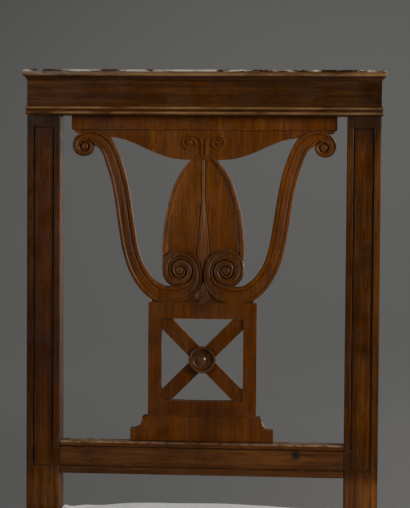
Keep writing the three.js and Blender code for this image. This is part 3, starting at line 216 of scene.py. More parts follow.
    def finish(self, colour, rough, normal=None, metallic=0):
        self.feed(self.surface.inputs["Base Color"], colour)
        self.feed(self.surface.inputs["Roughness"], rough)
        if normal is not None:
            self.feed(self.surface.inputs["Normal"], normal)
        self.surface.inputs["Metallic"].default_value = metallic
        return self.material


def scaled(colour, factor):
    """A darker or lighter colour of the same hue."""
    return tuple(c * factor for c in colour)


# How noise is stretched into grain for a board whose fibres run along an axis
GRAIN = {"X": (0.045, 1, 1), "Y": (1, 0.045, 1), "Z": (1, 1, 0.045)}
# Dirt, bared wood and black that several pieces share
GRIME = (0.016, 0.006, 0.002)
RUBBED = (0.36, 0.19, 0.075)
SOOT = (0.014, 0.008, 0.006)


def old_walnut(name, axis, tones, seed, raked=True, dirt=1.0, extra=None, rough=0.38, gloss=0.3):
    """Polished walnut with figure, streaks, pores, stains, dirt in its hollows and rubbed arrises."""
    dark, middle, light = tones
    shader = Shader(name, raked)
    shader.surface.inputs["Specular IOR Level"].default_value = gloss
    offset = shader.mapped(shader.place, shift=(seed, seed * 0.7, seed * 1.3))
    fibres = shader.mapped(offset, scale=GRAIN[axis])
    figure = shader.noise(fibres, scale=55, detail=4, rough=0.6, distortion=0.8)
    streaks = shader.noise(fibres, scale=260, detail=3, rough=0.6, distortion=0.3)
    pores = shader.noise(fibres, scale=1100, detail=2, rough=0.5)
    cloud = shader.noise(offset, scale=9, detail=2, rough=0.5)
    tone = shader.plus(shader.times(figure, 0.48), shader.times(streaks, 0.4), shader.times(cloud, 0.3))
    colour = shader.ramp(shader.range(tone, 0.4, 0.76), (0.0, dark), (0.5, middle), (1.0, light))
    colour = shader.mix(shader.times(shader.range(pores, 0.56, 0.66), 0.6), colour, scaled(dark, 0.35))
    blotches = shader.noise(offset, scale=23, detail=4, rough=0.65)
    stains = shader.range(blotches, 0.53, 0.70, to_high=0.45)
    colour = shader.mix(stains, colour, scaled(dark, 0.55))
    if extra is not None:
        colour = extra(shader, colour)
    grime_and_fold_shade = shader.range(shader.hollows(0.006), 0.25, 0.8, to_high=0.5 * dirt)
    colour = shader.mix(grime_and_fold_shade, colour, GRIME)
    patchy = shader.range(shader.noise(offset, scale=70, detail=4, rough=0.7), 0.42, 0.62)
    rub = shader.times(shader.range(shader.edges(0.0011), 0.05, 0.3), patchy)
    colour = shader.mix(shader.times(rub, 0.75, clamp=True), colour, RUBBED)
    handled = shader.noise(offset, scale=40, detail=3, rough=0.6)
    sheen = shader.range(handled, 0.35, 0.7, to_low=rough - 0.07, to_high=rough + 0.12)
    sheen = shader.plus(sheen, shader.times(grime_and_fold_shade, 0.25))
    height = shader.plus(shader.times(streaks, 0.6), shader.times(pores, -0.5))
    dents = shader.bump(shader.noise(offset, scale=120, detail=2, rough=0.5), strength=0.12, distance=0.0006)
    normal = shader.bump(height, strength=0.25, distance=0.0004, under=dents)
    return shader.finish(colour, sheen, normal)


# Where the marks on the back lie, in its own frame. A pair is a centre's x and z if its name says so, and
# otherwise the two ends of a fade.
RAIL_JOINT_X = 0.1738
RAIL_TOP_EDGE = (0.0762, 0.0774)
RAIL_MIDDLE = (0.02, 0.12)
KNOT_CENTRE = (0.1161, 0.0656)
CAP_ARRIS_Z, CAP_LIP_Z = 0.5312, 0.5262
CAP_CHIP_CENTRE = (-0.1937, 0.5289)
LOWER_BEAD_Z, UPPER_BEAD_Z = 0.4800, 0.4859
BEAD_FRONT = (-0.0012, -0.0028)
FRIEZE_DUSK = (0.02, 0.12)
FRIEZE_END, FRIEZE_FOOT = (0.183, 0.198), (0.487, 0.492)
FIELD_INNER_X, FIELD_OUTER_X = 0.1832, 0.2056
FIELD_FLOOR = (0.0040, 0.0035)
FIELD_FOOT, FIELD_HEAD = (0.040, 0.050), (0.430, 0.468)
QUIRK = (0.0020, 0.0026)
ABOVE_RAIL, BARE_LEG = (0.042, 0.060), (0.042, 0.030)
LEFT_HALF, RIGHT_HALF = (0.05, -0.05), (-0.05, 0.05)
LOWER_SPLAT = (0.285, 0.20)
PANEL_HEAD, PANEL_FOOT, PANEL_SIDES = (0.276, 0.262), (0.108, 0.112), (0.07, -0.02)
ARMS_FOOT, LEFT_ARM, RIGHT_ARM = (0.285, 0.30), (-0.058, -0.10), (0.058, 0.10)
VOLUTE_CENTRES = ((-0.0278, 0.2883), (0.0278, 0.2883), (0, 0.2617))
PLINTH_JOINT = (0.0784, 0.0800)
PLINTH_CHIP_CENTRE = (-0.0710, 0.1100)


def joint_lines(shader, colour):
    """Dark glue line where the lower rail meets the posts, a knot and rubbed dirt along the top."""
    x, _, z = shader.axes()
    line = shader.near(shader.magnitude(x), RAIL_JOINT_X, reach=0.0009)
    colour = shader.mix(line, colour, (0.012, 0.006, 0.003))
    wobble = shader.noise(shader.place, scale=160, detail=3, rough=0.6)
    knot = shader.spot(x, z, KNOT_CENTRE, radius=0.0085)
    knot = shader.range(shader.times(knot, shader.plus(wobble, 0.4)), 0.12, 0.55)
    colour = shader.mix(shader.times(knot, 0.9), colour, SOOT)
    rubbed = shader.times(shader.range(z, *RAIL_TOP_EDGE), shader.range(wobble, 0.36, 0.55))
    rubbed = shader.times(rubbed, shader.range(shader.magnitude(x), *RAIL_MIDDLE, to_low=0.35, to_high=0.9))
    return shader.mix(rubbed, colour, (0.34, 0.21, 0.12))


def chipped_lip(shader, colour):
    """Worn lip of the cap: a broken painted highlight along its top arris, a rubbed band under it and one dark
    chip.
    """
    x, _, z = shader.axes()
    stretched = shader.mapped(shader.place, scale=(0.3, 1, 1))
    highlight_breaks = shader.noise(stretched, scale=95, detail=5, rough=0.7)
    # Painted highlight: pale broken streaks along the worn top arris
    arris = shader.near(z, CAP_ARRIS_Z, reach=0.0026)
    pale = shader.times(arris, shader.range(highlight_breaks, 0.44, 0.55))
    colour = shader.mix(shader.times(pale, 0.9, clamp=True), colour, (0.80, 0.70, 0.56))
    band = shader.near(z, CAP_LIP_Z, reach=0.0035)
    broken = shader.noise(stretched, scale=60, detail=4, rough=0.65)
    rubbed = shader.times(band, shader.range(broken, 0.3, 0.6))
    colour = shader.mix(shader.times(rubbed, 0.8, clamp=True), colour, (0.36, 0.20, 0.09))
    chip = shader.spot(x, z, CAP_CHIP_CENTRE, radius=0.004)
    return shader.mix(shader.range(chip, 0.2, 0.6), colour, SOOT)


def crest_marks(shader, colour):
    """Both beads rubbed pale along their tops, and a frieze that darkens to the right."""
    x, y, z = shader.axes()
    front = shader.range(y, *BEAD_FRONT)
    beads = shader.either(shader.near(z, LOWER_BEAD_Z, reach=0.0021),
                          shader.near(z, UPPER_BEAD_Z, reach=0.0021))
    stretched = shader.mapped(shader.place, scale=(0.25, 1, 1))
    broken = shader.noise(stretched, scale=80, detail=4, rough=0.65)
    band = shader.times(beads, front, shader.range(broken, 0.3, 0.62))
    dusk = shader.range(x, *FRIEZE_DUSK)
    colour = shader.tinted(dusk, colour, (0.68, 0.68, 0.72))
    end = shader.times(shader.range(x, *FRIEZE_END), shader.range(z, *FRIEZE_FOOT))
    smear = shader.noise(shader.place, scale=95, detail=3, rough=0.6)
    smear = shader.range(smear, 0.3, 0.6, to_low=0.2, to_high=0.6)
    colour = shader.mix(shader.times(end, smear), colour, (0.012, 0.006, 0.0025))
    return shader.mix(shader.times(band, 0.9, clamp=True), colour, (0.32, 0.19, 0.085))


def post_marks(shader, colour):
    """Dark bands along the sunk field, of dirt and painted shadow; painted light in the quirks; a head
    darkened under the crest; painted shade on the left post and painted light on the right; and paler wood
    below the rail, of worn polish and painted light, palest on the right.
    """
    x, y, z = shader.axes()
    smear = shader.noise(shader.mapped(shader.place, scale=(1, 1, 0.12)), scale=190, detail=3, rough=0.6)
    # Dirt and painted shadow: dark bands along both borders of the sunk field, where the raised borders shade
    # it
    inner = shader.near(shader.magnitude(x), FIELD_INNER_X, reach=0.0024)
    outer = shader.near(shader.magnitude(x), FIELD_OUTER_X, reach=0.0028)
    band = shader.times(shader.either(inner, outer), shader.range(smear, 0.3, 0.6, to_low=0.35, to_high=0.8))
    band = shader.times(band, shader.range(y, *FIELD_FLOOR), shader.range(z, *FIELD_FOOT))
    colour = shader.mix(band, colour, (0.016, 0.0052, 0.0012))
    # Painted light: the quirk grooves are lightened to lift the shadow that falls in them
    quirk_painted_light = shader.times(shader.range(y, *QUIRK), shader.range(y, *FIELD_FLOOR))
    colour = shader.mix(quirk_painted_light, colour, (0.085, 0.034, 0.008))
    # The post's head is darkened just under the crest
    top = shader.times(shader.range(z, *FIELD_HEAD), shader.range(smear, 0.3, 0.55, to_low=0.25, to_high=0.7))
    colour = shader.mix(top, colour, (0.016, 0.0078, 0.0032))
    # Painted shade on the left post and painted light on the right post, above the rail
    left = shader.times(shader.range(x, *LEFT_HALF), shader.range(z, *ABOVE_RAIL))
    colour = shader.tinted(left, colour, (0.90, 0.78, 0.48))
    right = shader.times(shader.range(x, *RIGHT_HALF), shader.range(z, *ABOVE_RAIL))
    colour = shader.tinted(right, colour, (1.14, 1.12, 1.0))
    # Below the rail: worn polish and painted light, palest on the right
    worn_and_lit = shader.times(shader.range(z, *BARE_LEG), shader.range(x, *RIGHT_HALF, to_low=0.2, to_high=0.8))
    return shader.tinted(worn_and_lit, colour, (2.1, 2.3, 4.0))


def carved_tone(shader, colour):
    """Browner panel and volutes, painted shade on the left arm and painted light on the right one, a painted
    shadow line along the plinth's joint, and the plinth's chip.
    """
    x, _, z = shader.axes()
    colour = shader.tinted(shader.range(z, *LOWER_SPLAT), colour, (0.92, 0.88, 0.75))
    panel = shader.times(shader.range(z, *PANEL_HEAD), shader.range(z, *PANEL_FOOT),
                         shader.range(x, *PANEL_SIDES))
    colour = shader.tinted(panel, colour, (0.76, 0.71, 0.6))
    # Painted shade on the left arm and painted light on the right arm
    arms = shader.range(z, *ARMS_FOOT)
    left = shader.times(shader.range(x, *LEFT_ARM), arms)
    colour = shader.tinted(left, colour, (0.76, 0.74, 0.7))
    right = shader.times(shader.range(x, *RIGHT_ARM), arms)
    colour = shader.tinted(right, colour, (1.22, 1.18, 1.1))
    left_roll, right_roll, bud = (shader.spot(x, z, centre, radius=0.034) for centre in VOLUTE_CENTRES)
    rolls = shader.range(shader.either(shader.either(left_roll, right_roll), bud), 0.1, 0.5)
    colour = shader.tinted(rolls, colour, (0.70, 0.74, 1.15))
    # Painted shadow: a dark line along the plinth's foot, where it meets the rail
    foot = shader.range(z, *PLINTH_JOINT, to_low=1, to_high=0)
    colour = shader.mix(shader.times(foot, 0.9), colour, (0.008, 0.003, 0.001))
    chip = shader.range(shader.spot(x, z, PLINTH_CHIP_CENTRE, radius=0.0042), 0.2, 0.6)
    return shader.mix(shader.times(chip, 0.85), colour, (0.010, 0.004, 0.002))


def secondary_wood(name, axis, tones, seed):
    """Bare sawn and planed wood that was never polished."""
    dark, middle, light = tones
    shader = Shader(name)
    offset = shader.mapped(shader.place, shift=(seed, seed * 0.6, seed * 1.7))
    fibres = shader.mapped(offset, scale=GRAIN[axis])
    figure = shader.noise(fibres, scale=70, detail=4, rough=0.6, distortion=0.6)
    saw = shader.noise(shader.mapped(offset, scale=(1, 1, 0.2)), scale=420, detail=2, rough=0.5)
    colour = shader.ramp(shader.range(figure, 0.36, 0.66), (0.0, dark), (0.5, middle), (1.0, light))
    smudge = shader.noise(offset, scale=14, detail=3, rough=0.6)
    smudge = shader.range(smudge, 0.5, 0.75, to_high=0.4)
    colour = shader.mix(smudge, colour, scaled(dark, 0.5))
    rub = shader.times(shader.range(shader.edges(0.001), 0.05, 0.4), 0.4)
    colour = shader.mix(rub, colour, scaled(light, 1.3))
    normal = shader.bump(shader.plus(figure, shader.times(saw, 0.7)), strength=0.35, distance=0.0006)
    rough = shader.range(figure, 0.3, 0.7, to_low=0.62, to_high=0.8)
    return shader.finish(colour, rough, normal)


def dark_iron(name):
    """Forged iron, grey with rust in blotches."""
    shader = Shader(name)
    blotch = shader.noise(shader.place, scale=420, detail=4, rough=0.65)
    fine = shader.noise(shader.place, scale=1900, detail=2, rough=0.5)
    black, grey, rust = (0.035, 0.03, 0.028), (0.085, 0.07, 0.06), (0.17, 0.075, 0.035)
    colour = shader.ramp(shader.range(blotch, 0.35, 0.7), (0.0, black), (0.6, grey), (1.0, rust))
    normal = shader.bump(shader.plus(blotch, fine), strength=0.3, distance=0.0003)
    rough = shader.range(blotch, 0.3, 0.7, to_low=0.42, to_high=0.75)
    return shader.finish(colour, rough, normal, metallic=0.85)


def woven_jute(name, pitch, depth, striped_at=None):
    """Plain weave with slubs and dust, and two stripes along a web whose middle is at the given x."""
    shader = Shader(name)
    x, y, z = shader.axes()
    wobble = shader.times(shader.noise(shader.place, scale=90, detail=2, rough=0.5), pitch * 1.2)
    turns = math.pi / pitch
    warp = shader.math("SINE", shader.times(shader.plus(x, wobble), turns))
    weft = shader.math("SINE", shader.times(shader.plus(y, z, wobble), turns))
    crossing = shader.times(warp, weft, 0.5)
    thread = shader.magnitude(shader.plus(shader.magnitude(warp), crossing))
    slubs = shader.noise(shader.mapped(shader.place, scale=(1, 0.15, 1)), scale=700, detail=3, rough=0.6)
    dark, middle, light = JUTE_TONES
    tone = shader.plus(shader.times(thread, 0.5), shader.times(slubs, 0.6))
    colour = shader.ramp(shader.range(tone, 0.2, 1.0), (0.0, dark), (0.55, middle), (1.0, light))
    if striped_at is not None:
        from_middle = shader.magnitude(shader.math("SUBTRACT", x, striped_at))
        stripe = shader.near(from_middle, STRIPE_FROM_MIDDLE, reach=0.0022)
        colour = shader.mix(shader.range(stripe, 0.2, 0.5), colour, (0.13, 0.05, 0.03))
    dust = shader.noise(shader.place, scale=12, detail=4, rough=0.6)
    dust = shader.range(dust, 0.45, 0.75, to_high=0.3)
    colour = shader.mix(dust, colour, scaled(dark, 0.45))
    normal = shader.bump(tone, strength=0.7, distance=depth)
    material = shader.finish(colour, rough=0.92, normal=normal)
    shader.surface.inputs["Sheen Weight"].default_value = 0.15
    return material


def plain_cotton(name):
    """Off-white calico with a fine weave, soft creases and slightly yellow painted shade in the folds."""
    shader = Shader(name)
    x, y, z = shader.axes()
    turns = math.pi / CALICO_PITCH
    warp = shader.math("SINE", shader.times(x, turns))
    weft = shader.math("SINE", shader.times(shader.plus(y, z), turns))
    weave = shader.times(warp, weft)
    slubs = shader.noise(shader.mapped(shader.place, scale=(1, 0.1, 0.1)), scale=900, detail=3, rough=0.6)
    cloud = shader.noise(shader.place, scale=11, detail=3, rough=0.55)
    yellowed, clean = (0.89, 0.875, 0.84), (0.95, 0.945, 0.925)
    colour = shader.ramp(shader.range(cloud, 0.3, 0.7), (0.0, yellowed), (1.0, clean))
    colour = shader.mix(shader.range(slubs, 0.6, 0.75, to_high=0.2), colour, (0.62, 0.6, 0.55))
    # Painted shade: the calico darkens where its folds are enclosed
    grime_and_fold_shade = shader.range(shader.hollows(0.012), 0.3, 0.9, to_high=0.45)
    colour = shader.mix(grime_and_fold_shade, colour, (0.48, 0.43, 0.34))
    creases = shader.noise(shader.place, scale=38, detail=4, rough=0.6, distortion=0.8)
    soft = shader.bump(creases, strength=0.35, distance=0.003)
    normal = shader.bump(shader.plus(weave, slubs), strength=0.25, distance=0.0002, under=soft)
    material = shader.finish(colour, rough=0.9, normal=normal)
    shader.surface.inputs["Sheen Weight"].default_value = 0.25
    return material


def dress(material, *names):
    """Gives the CAD nodes of these names one material."""
    for name in names:
        mesh = nodes[name].data
        mesh.materials.clear()
        mesh.materials.append(material)


def dress_frame():
    posts = old_walnut("posts_walnut", "Z", FRAME_TONES, extra=post_marks, dirt=0.6, seed=0.31)
    dress(posts, "back_post_left", "back_post_right")
    legs = old_walnut("legs_walnut", "Z", FRAME_TONES, raked=False, seed=0.77)
    dress(legs, "front_leg_left", "front_leg_right")
    dress(old_walnut("crest_walnut", "X", FRAME_TONES, extra=crest_marks, seed=1.13), "crest_rail")
    dress(old_walnut("cap_walnut", "X", FRAME_TONES, extra=chipped_lip, seed=1.71), "crest_cap")
    dress(old_walnut("rail_walnut", "X", RAIL_TONES, extra=joint_lines, seed=2.39), "lower_back_rail")
    splat = old_walnut("carved_walnut", "Z", SPLAT_TONES, extra=carved_tone, rough=0.40, seed=3.07)
    dress(splat, "lyre_splat", "splat_plinth")
    rosette = old_walnut("rosette_walnut", "Z", ROSETTE_TONES, rough=0.24, gloss=0.55, seed=3.61)
    dress(rosette, "splat_rosette")
    pegs = secondary_wood("peg_wood", "Y", tuple(scaled(tone, 0.35) for tone in BARE_TONES), seed=0.4)
    dress(pegs, *[name for name in nodes if "peg" in name])
    for name, axis, seed in (("front_seat_rail", "X", 0.2), ("back_seat_rail", "X", 1.2),
                             ("left_seat_rail", "Y", 2.2), ("right_seat_rail", "Y", 3.2)):
        dress(secondary_wood(name + "_wood", axis, BARE_TONES, seed), name)
    blocks = secondary_wood("block_wood", "Z", BARE_TONES, seed=4.4)
    dress(blocks, *[name for name in nodes if name.endswith("corner_block")])
    dress(dark_iron("screw_iron"), *[name for name in nodes if "block_screw" in name])
    for number in (1, 2, 3):
        web_x = (number - 2) * WEB_SPACING
        dress(woven_jute(f"long_web_{number}_jute", *WEB_WEAVE, web_x), f"long_web_{number}")
    dress(woven_jute("cross_web_jute", *WEB_WEAVE), "cross_web_1", "cross_web_2", "cross_web_3")
    dress(woven_jute("hessian_jute", *HESSIAN_WEAVE), "hessian")


# Soft arrises on the wooden pieces

EASE_WIDTH = 0.0007
EASED_PIECES = ("back_post_left", "back_post_right", "crest_cap", "crest_rail", "splat_plinth",
                "lower_back_rail", "front_leg_left", "front_leg_right")


def ease(name):
    """Rounds a piece's sharp arrises a little."""
    piece = nodes[name]
    weld = piece.modifiers.new("weld", "WELD")
    weld.merge_threshold = 0.00002
    bevel = piece.modifiers.new("eased", "BEVEL")
    bevel.width = EASE_WIDTH
    bevel.segments = 2
    bevel.limit_method = "ANGLE"
    bevel.angle_limit = math.radians(40)


# Seat

# Height and outward step of each ring up the pad's sides
PAD_SIDES = ((COVER_HEM, 0), (0.385, 0), (0.405, 0), (0.4200, 0), (0.4250, 0.003), (0.4300, 0.0055),
             (0.4350, 0.0055), (0.4385, 0.002))
# How far each ring over the pad's top lies towards the middle
PAD_TOP_SHARES = (0.04, 0.12, 0.25, 0.45, 0.7)
PAD_TOP_EDGE, CROWN_RISE, CROWN_POWER, CROWN_REACH = 0.4400, 0.0110, 2.6, 0.217
OUTLINE_STEP = 0.02

# How firmly the blown-up pad is held: at its top rim, and from the edge inwards until the hold has faded
RIM_TOP, RIM_WIDTH, RIM_HOLD = 0.4375, 0.012, 0.92
EDGE_HOLD, HOLD_FADE = 0.85, 0.05

# Above this height the cover is the seat's top
TOP_START = 0.428
# Gathers that run out from the posts' inner front corners
GATHER_HEIGHT, GATHER_START, GATHER_REACH, GATHER_COUNT = 0.0022, 0.012, 0.035, 9
# Lumps of bunched cloth beside the posts
LUMP_LEFT, LUMP_RIGHT = 0.0024, 0.0016
LUMP_X, LUMP_Y, LUMP_WIDTH, LUMP_DEPTH = 0.170, 0.012, 0.007, 0.014
# The rear edge, which sinks to both sides of its high point
SAG_LEFT, SAG_RIGHT = 0.0062, 0.0028
SAG_PEAK_X, SAG_FLAT, SAG_RUN, SAG_START_Y = -0.02, 0.03, 0.13, -0.03
SAG_RAMP_Y, SAG_RAMP_Z = 0.05, 0.008
# Soft wrinkles over the top, wide and fine, and on the sides
WIDE_WRINKLES, FINE_WRINKLES, SIDE_WRINKLES = 0.0014, 0.0007, 0.0004
# The sides: how they are drawn to the rails, slack between the tacks, and the turned hem
HUG_TOP, HUG_FADE = 0.423, 0.004
SLACK_DEPTH, SLACK_Z, SLACK_REACH, SLACK_PITCH = 0.0007, 0.366, 0.03, 0.038
HEM_DEPTH, HEM_TOP, HEM_EDGE = 0.0006, 0.3695, 0.0012
# Which rail a point of the sides belongs to
NEAR_RAIL, ON_RAIL, SIDE_RAIL_X = 0.01, 0.004, 0.19

CLOTH_THICKNESS = 0.0011
POST_CLEARANCE, POST_MARGIN = 0.0005, 0.003


def on_seat(x, y, z):
    """A place given on the seat, in the scene's frame."""
    return Vector((x, y + SHIFT, z))


def clamped(value):
    return max(0.0, min(1.0, value))


def cover_outline():
    """The cover's outline seen from above, with its notches for the back posts."""
    leg_y, corner_y, corner_step = -0.362, -0.0041, 0.0002
    post_x, post_y = POST_INNER - CLOTH_GAP, -CLOTH_GAP
    half = [(0, FRONT_Y), (HALF_FRONT, FRONT_Y), (HALF_FRONT, leg_y), (HALF_BACK + corner_step, corner_y),
            (HALF_BACK, post_y), (post_x, post_y), (post_x, BACK_Y), (0, BACK_Y)]
    return half + [(-x, y) for x, y in reversed(half[1:-1])]


def spaced(points, step):
    """The closed outline cut into even lengths between its corners."""
    result = []
    for index, (x, y) in enumerate(points):
        nx, ny = points[(index + 1) % len(points)]
        parts = max(1, round(math.hypot(nx - x, ny - y) / step))
        result += [(x + (nx - x) * i / parts, y + (ny - y) * i / parts) for i in range(parts)]
    return result


def crown(x, y):
    """How far the seat's top rises above its edge."""
    across = min(1, abs(x) / (HALF_BACK + (HALF_FRONT - HALF_BACK) * -y / SIDE_RUN))
    along = min(1, abs(y - MIDDLE_Y) / CROWN_REACH)
    return CROWN_RISE * (1 - across ** CROWN_POWER) * (1 - along ** CROWN_POWER)


def close_skin(builder, rings):
    """Adds faces between each ring of points and the next, and over both ends."""
    count = len(rings[0])
    for low, high in zip(rings, rings[1:]):
        for i in range(count):
            builder.faces.new((low[i], low[(i + 1) % count], high[(i + 1) % count], high[i]))
    builder.faces.new(list(reversed(rings[0])))
    builder.faces.new(rings[-1])


def placed(builder, name):
    """Turns what was built into an object of the scene."""
    bmesh.ops.recalc_face_normals(builder, faces=builder.faces)
    mesh = bpy.data.meshes.new(name)
    builder.to_mesh(mesh)
    builder.free()
    piece = bpy.data.objects.new(name, mesh)
    bpy.context.collection.objects.link(piece)
    return piece


def smoothed(piece, material):
    """Gives a drawn piece its material and smooth shading."""
    piece.data.materials.clear()
    piece.data.materials.append(material)
    for face in piece.data.polygons:
        face.use_smooth = True


def pad_block():
    """The stuffed seat as a plain closed form, a little smaller than the finished one."""
    outline = spaced(cover_outline(), OUTLINE_STEP)
    builder = bmesh.new()
    rings = []
    for z, step in PAD_SIDES:
        ring = []
        for x, y in outline:
            outward = Vector((-x, MIDDLE_Y - y)).normalized() * -step
            ring.append(builder.verts.new(on_seat(x + outward.x, y + outward.y, z)))
        rings.append(ring)
    for share in PAD_TOP_SHARES:
        ring = []
        for x, y in outline:
            px, py = x * (1 - share), y + (MIDDLE_Y - y) * share
            ring.append(builder.verts.new(on_seat(px, py, PAD_TOP_EDGE + crown(px, py))))
        rings.append(ring)
    close_skin(builder, rings)
    return placed(builder, "seat_cover")


def applied(piece):
    """Bakes a piece's modifiers into its mesh."""
    bpy.context.view_layer.update()
    depsgraph = bpy.context.evaluated_depsgraph_get()
    mesh = bpy.data.meshes.new_from_object(piece.evaluated_get(depsgraph))
    piece.modifiers.clear()
    piece.data = mesh


def nearest_on_outline(x, y, outline):
    """The point of the closed outline that is nearest to a place."""
    least, found = math.inf, (x, y)
    for (ax, ay), (bx, by) in zip(outline, outline[1:] + outline[:1]):
        dx, dy = bx - ax, by - ay
        along = max(0, min(1, ((x - ax) * dx + (y - ay) * dy) / (dx * dx + dy * dy)))
        px, py = ax + dx * along, ay + dy * along
        away = math.hypot(px - x, py - y)
        if away < least:
            least, found = away, (px, py)
    return found


def hold(piece):
    """Marks how firmly each point is held while the pad is blown up."""
    group = piece.vertex_groups.new(name="held")
    outline = cover_outline()
    for vertex in piece.data.vertices:
        x, y, z = vertex.co.x, vertex.co.y - SHIFT, vertex.co.z
        px, py = nearest_on_outline(x, y, outline)
        from_edge = math.hypot(px - x, py - y)
        if z < SIDES_END:
            weight = 1.0
        elif z < RIM_TOP and from_edge < RIM_WIDTH:
            weight = RIM_HOLD
        else:
            weight = EDGE_HOLD * max(0.0, 1 - from_edge / HOLD_FADE)
        group.add([vertex.index], weight, "REPLACE")
    return group.name


def swell(piece, frames=20, pressure=4.0, limit=0.008):
    """Blows the pad up as cloth, held on the rails and at the posts, with each point's way capped."""
    cloth = piece.modifiers.new("swell", "CLOTH")
    settings = cloth.settings
    settings.vertex_group_mass = hold(piece)
    settings.use_pressure = True
    settings.uniform_pressure_force = pressure
    settings.shrink_min = -0.012
    settings.bending_stiffness = 0.6
    settings.effector_weights.gravity = 0
    settings.quality = 5
    cloth.collision_settings.use_collision = False
    cloth.point_cache.frame_start = 1
    cloth.point_cache.frame_end = frames
    starts = [vertex.co.copy() for vertex in piece.data.vertices]
    scene = bpy.context.scene
    for number in range(1, frames + 1):
        scene.frame_set(number)
    depsgraph = bpy.context.evaluated_depsgraph_get()
    ends = [vertex.co.copy() for vertex in piece.evaluated_get(depsgraph).data.vertices]
    piece.modifiers.clear()
    for vertex, start, end in zip(piece.data.vertices, starts, ends):
        way = end - start
        vertex.co = start + way * min(1, limit / max(way.length, 1e-9))
    scene.frame_set(1)


def open_below(piece):
    """Takes away the block's flat foot, so that the rails and the webbing show from below."""
    foot_top = 0.37
    builder = bmesh.new()
    builder.from_mesh(piece.data)
    foot = [face for face in builder.faces
            if face.normal.z < -0.5 and face.calc_center_median().z < foot_top]
    bmesh.ops.delete(builder, geom=foot, context="FACES")
    for vertex in builder.verts:
        if vertex.is_boundary:
            vertex.co.z = COVER_HEM
    builder.to_mesh(piece.data)
    builder.free()


def top_height(x, y, z):
    """A top point's height, with gathers and lumps at the posts, the sunk rear edge and soft wrinkles."""
    side = 1 if x > 0 else -1
    reach = math.hypot(abs(x) - POST_INNER, y)
    angle = math.atan2(y, abs(x) - POST_INNER)
    pull = math.exp(-((reach - GATHER_START) / GATHER_REACH) ** 2) * min(1, reach / GATHER_START)
    z += GATHER_HEIGHT * pull * math.sin(angle * GATHER_COUNT + side)
    lump = LUMP_LEFT if side < 0 else LUMP_RIGHT
    z += lump * math.exp(-((abs(x) - LUMP_X) / LUMP_WIDTH) ** 2 - ((y - LUMP_Y) / LUMP_DEPTH) ** 2)
    away = clamped((abs(x - SAG_PEAK_X) - SAG_FLAT) / SAG_RUN)
    back = clamped((y - SAG_START_Y) / SAG_RAMP_Y) * min(1, (z - TOP_START) / SAG_RAMP_Z)
    z -= (SAG_LEFT if x < SAG_PEAK_X else SAG_RIGHT) * away * away * (3 - 2 * away) * back
    wide = noise.noise(Vector((x * 9, y * 9, 3.1)))
    fine = noise.noise(Vector((x * 26 + 5, y * 26, 7.7)))
    return z + (WIDE_WRINKLES * wide + FINE_WRINKLES * fine)


def stand_off(run, z):
    """How far the side cloth stands out at a place along its rail: slack, hem and small wrinkles."""
    slack = max(0.0, 1 - abs(z - SLACK_Z) / SLACK_REACH)
    out = SLACK_DEPTH * slack * (0.5 + 0.5 * math.cos(run / SLACK_PITCH * 2 * math.pi))
    out += HEM_DEPTH * clamped((HEM_TOP - z) / HEM_EDGE)
    out += SIDE_WRINKLES * (0.5 + noise.noise(Vector((run * 60, z * 12, 1.3))))
    return out


def shape_cover(piece):
    """Fits the cover to the rails, gathers it round the posts and turns its hem."""
    outline = cover_outline()
    for vertex in piece.data.vertices:
        x, y, z = vertex.co.x, vertex.co.y - SHIFT, vertex.co.z
        hug = clamped((HUG_TOP - z) / HUG_FADE)
        px, py = nearest_on_outline(x, y, outline)
        x, y = x + (px - x) * hug, y + (py - y) * hug
        if z > TOP_START:
            z = top_height(x, y, z)
        if z < SIDES_END:
            from_front, from_back = abs(y - FRONT_Y), abs(y - BACK_Y)
            out = stand_off(x if min(from_front, from_back) < NEAR_RAIL else y, z)
            if from_front < ON_RAIL:
                y -= out
            elif abs(x) > SIDE_RAIL_X and y < -ON_RAIL:
                x += out if x > 0 else -out
            elif from_back < ON_RAIL:
                y += out
        vertex.co = (x, y + SHIFT, z)


def clear_posts(piece):
    """Keeps the cover out of the back posts."""
    inner, front, outer = POST_INNER - POST_CLEARANCE, -POST_CLEARANCE, POST_OUTER + POST_MARGIN
    for vertex in piece.data.vertices:
        x, y = vertex.co.x, vertex.co.y - SHIFT
        if inner < abs(x) < outer and y > front:
            if abs(x) - inner < y - front:
                vertex.co.x = inner if x > 0 else -inner
            else:
                vertex.co.y = front + SHIFT


def add_cover():
    """The cotton cover: a pad that is blown up, shaped, opened below and given its thickness."""
    piece = pad_block()
    remesh = piece.modifiers.new("even", "REMESH")
    remesh.mode = "VOXEL"
    remesh.voxel_size = 0.006
    applied(piece)
    swell(piece)
    open_below(piece)
    finer = piece.modifiers.new("fine", "SUBSURF")
    finer.levels = finer.render_levels = 1
    applied(piece)
    shape_cover(piece)
    clear_posts(piece)
    thick = piece.modifiers.new("cloth", "SOLIDIFY")
    thick.thickness = CLOTH_THICKNESS
    thick.offset = -1
    applied(piece)
    smoothed(piece, plain_cotton("calico"))
    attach(piece, "root")
    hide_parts("cotton_cover", "stuffing")


# Tacks

TACK_Z = 0.3662
TACK_SIDES = 12
# Radius and rise of each ring of a tack's head
TACK_HEAD = ((0.0040, -0.0006), (0.0043, 0.0001), (0.0034, 0.0009), (0.0016, 0.0013))
# How far a tack may stray along its rail and up or down
STRAY_ALONG, STRAY_UP = 0.0015, 0.0008
FRONT_PITCH, BACK_PITCH, SIDE_TACKS, FIRST_SIDE_TACK = 0.0425, 0.05, 9, 0.03
# How far the tacks stand off the cover's outline on the ends and on the sides
END_STAND, SIDE_STAND = 0.0009, 0.0012


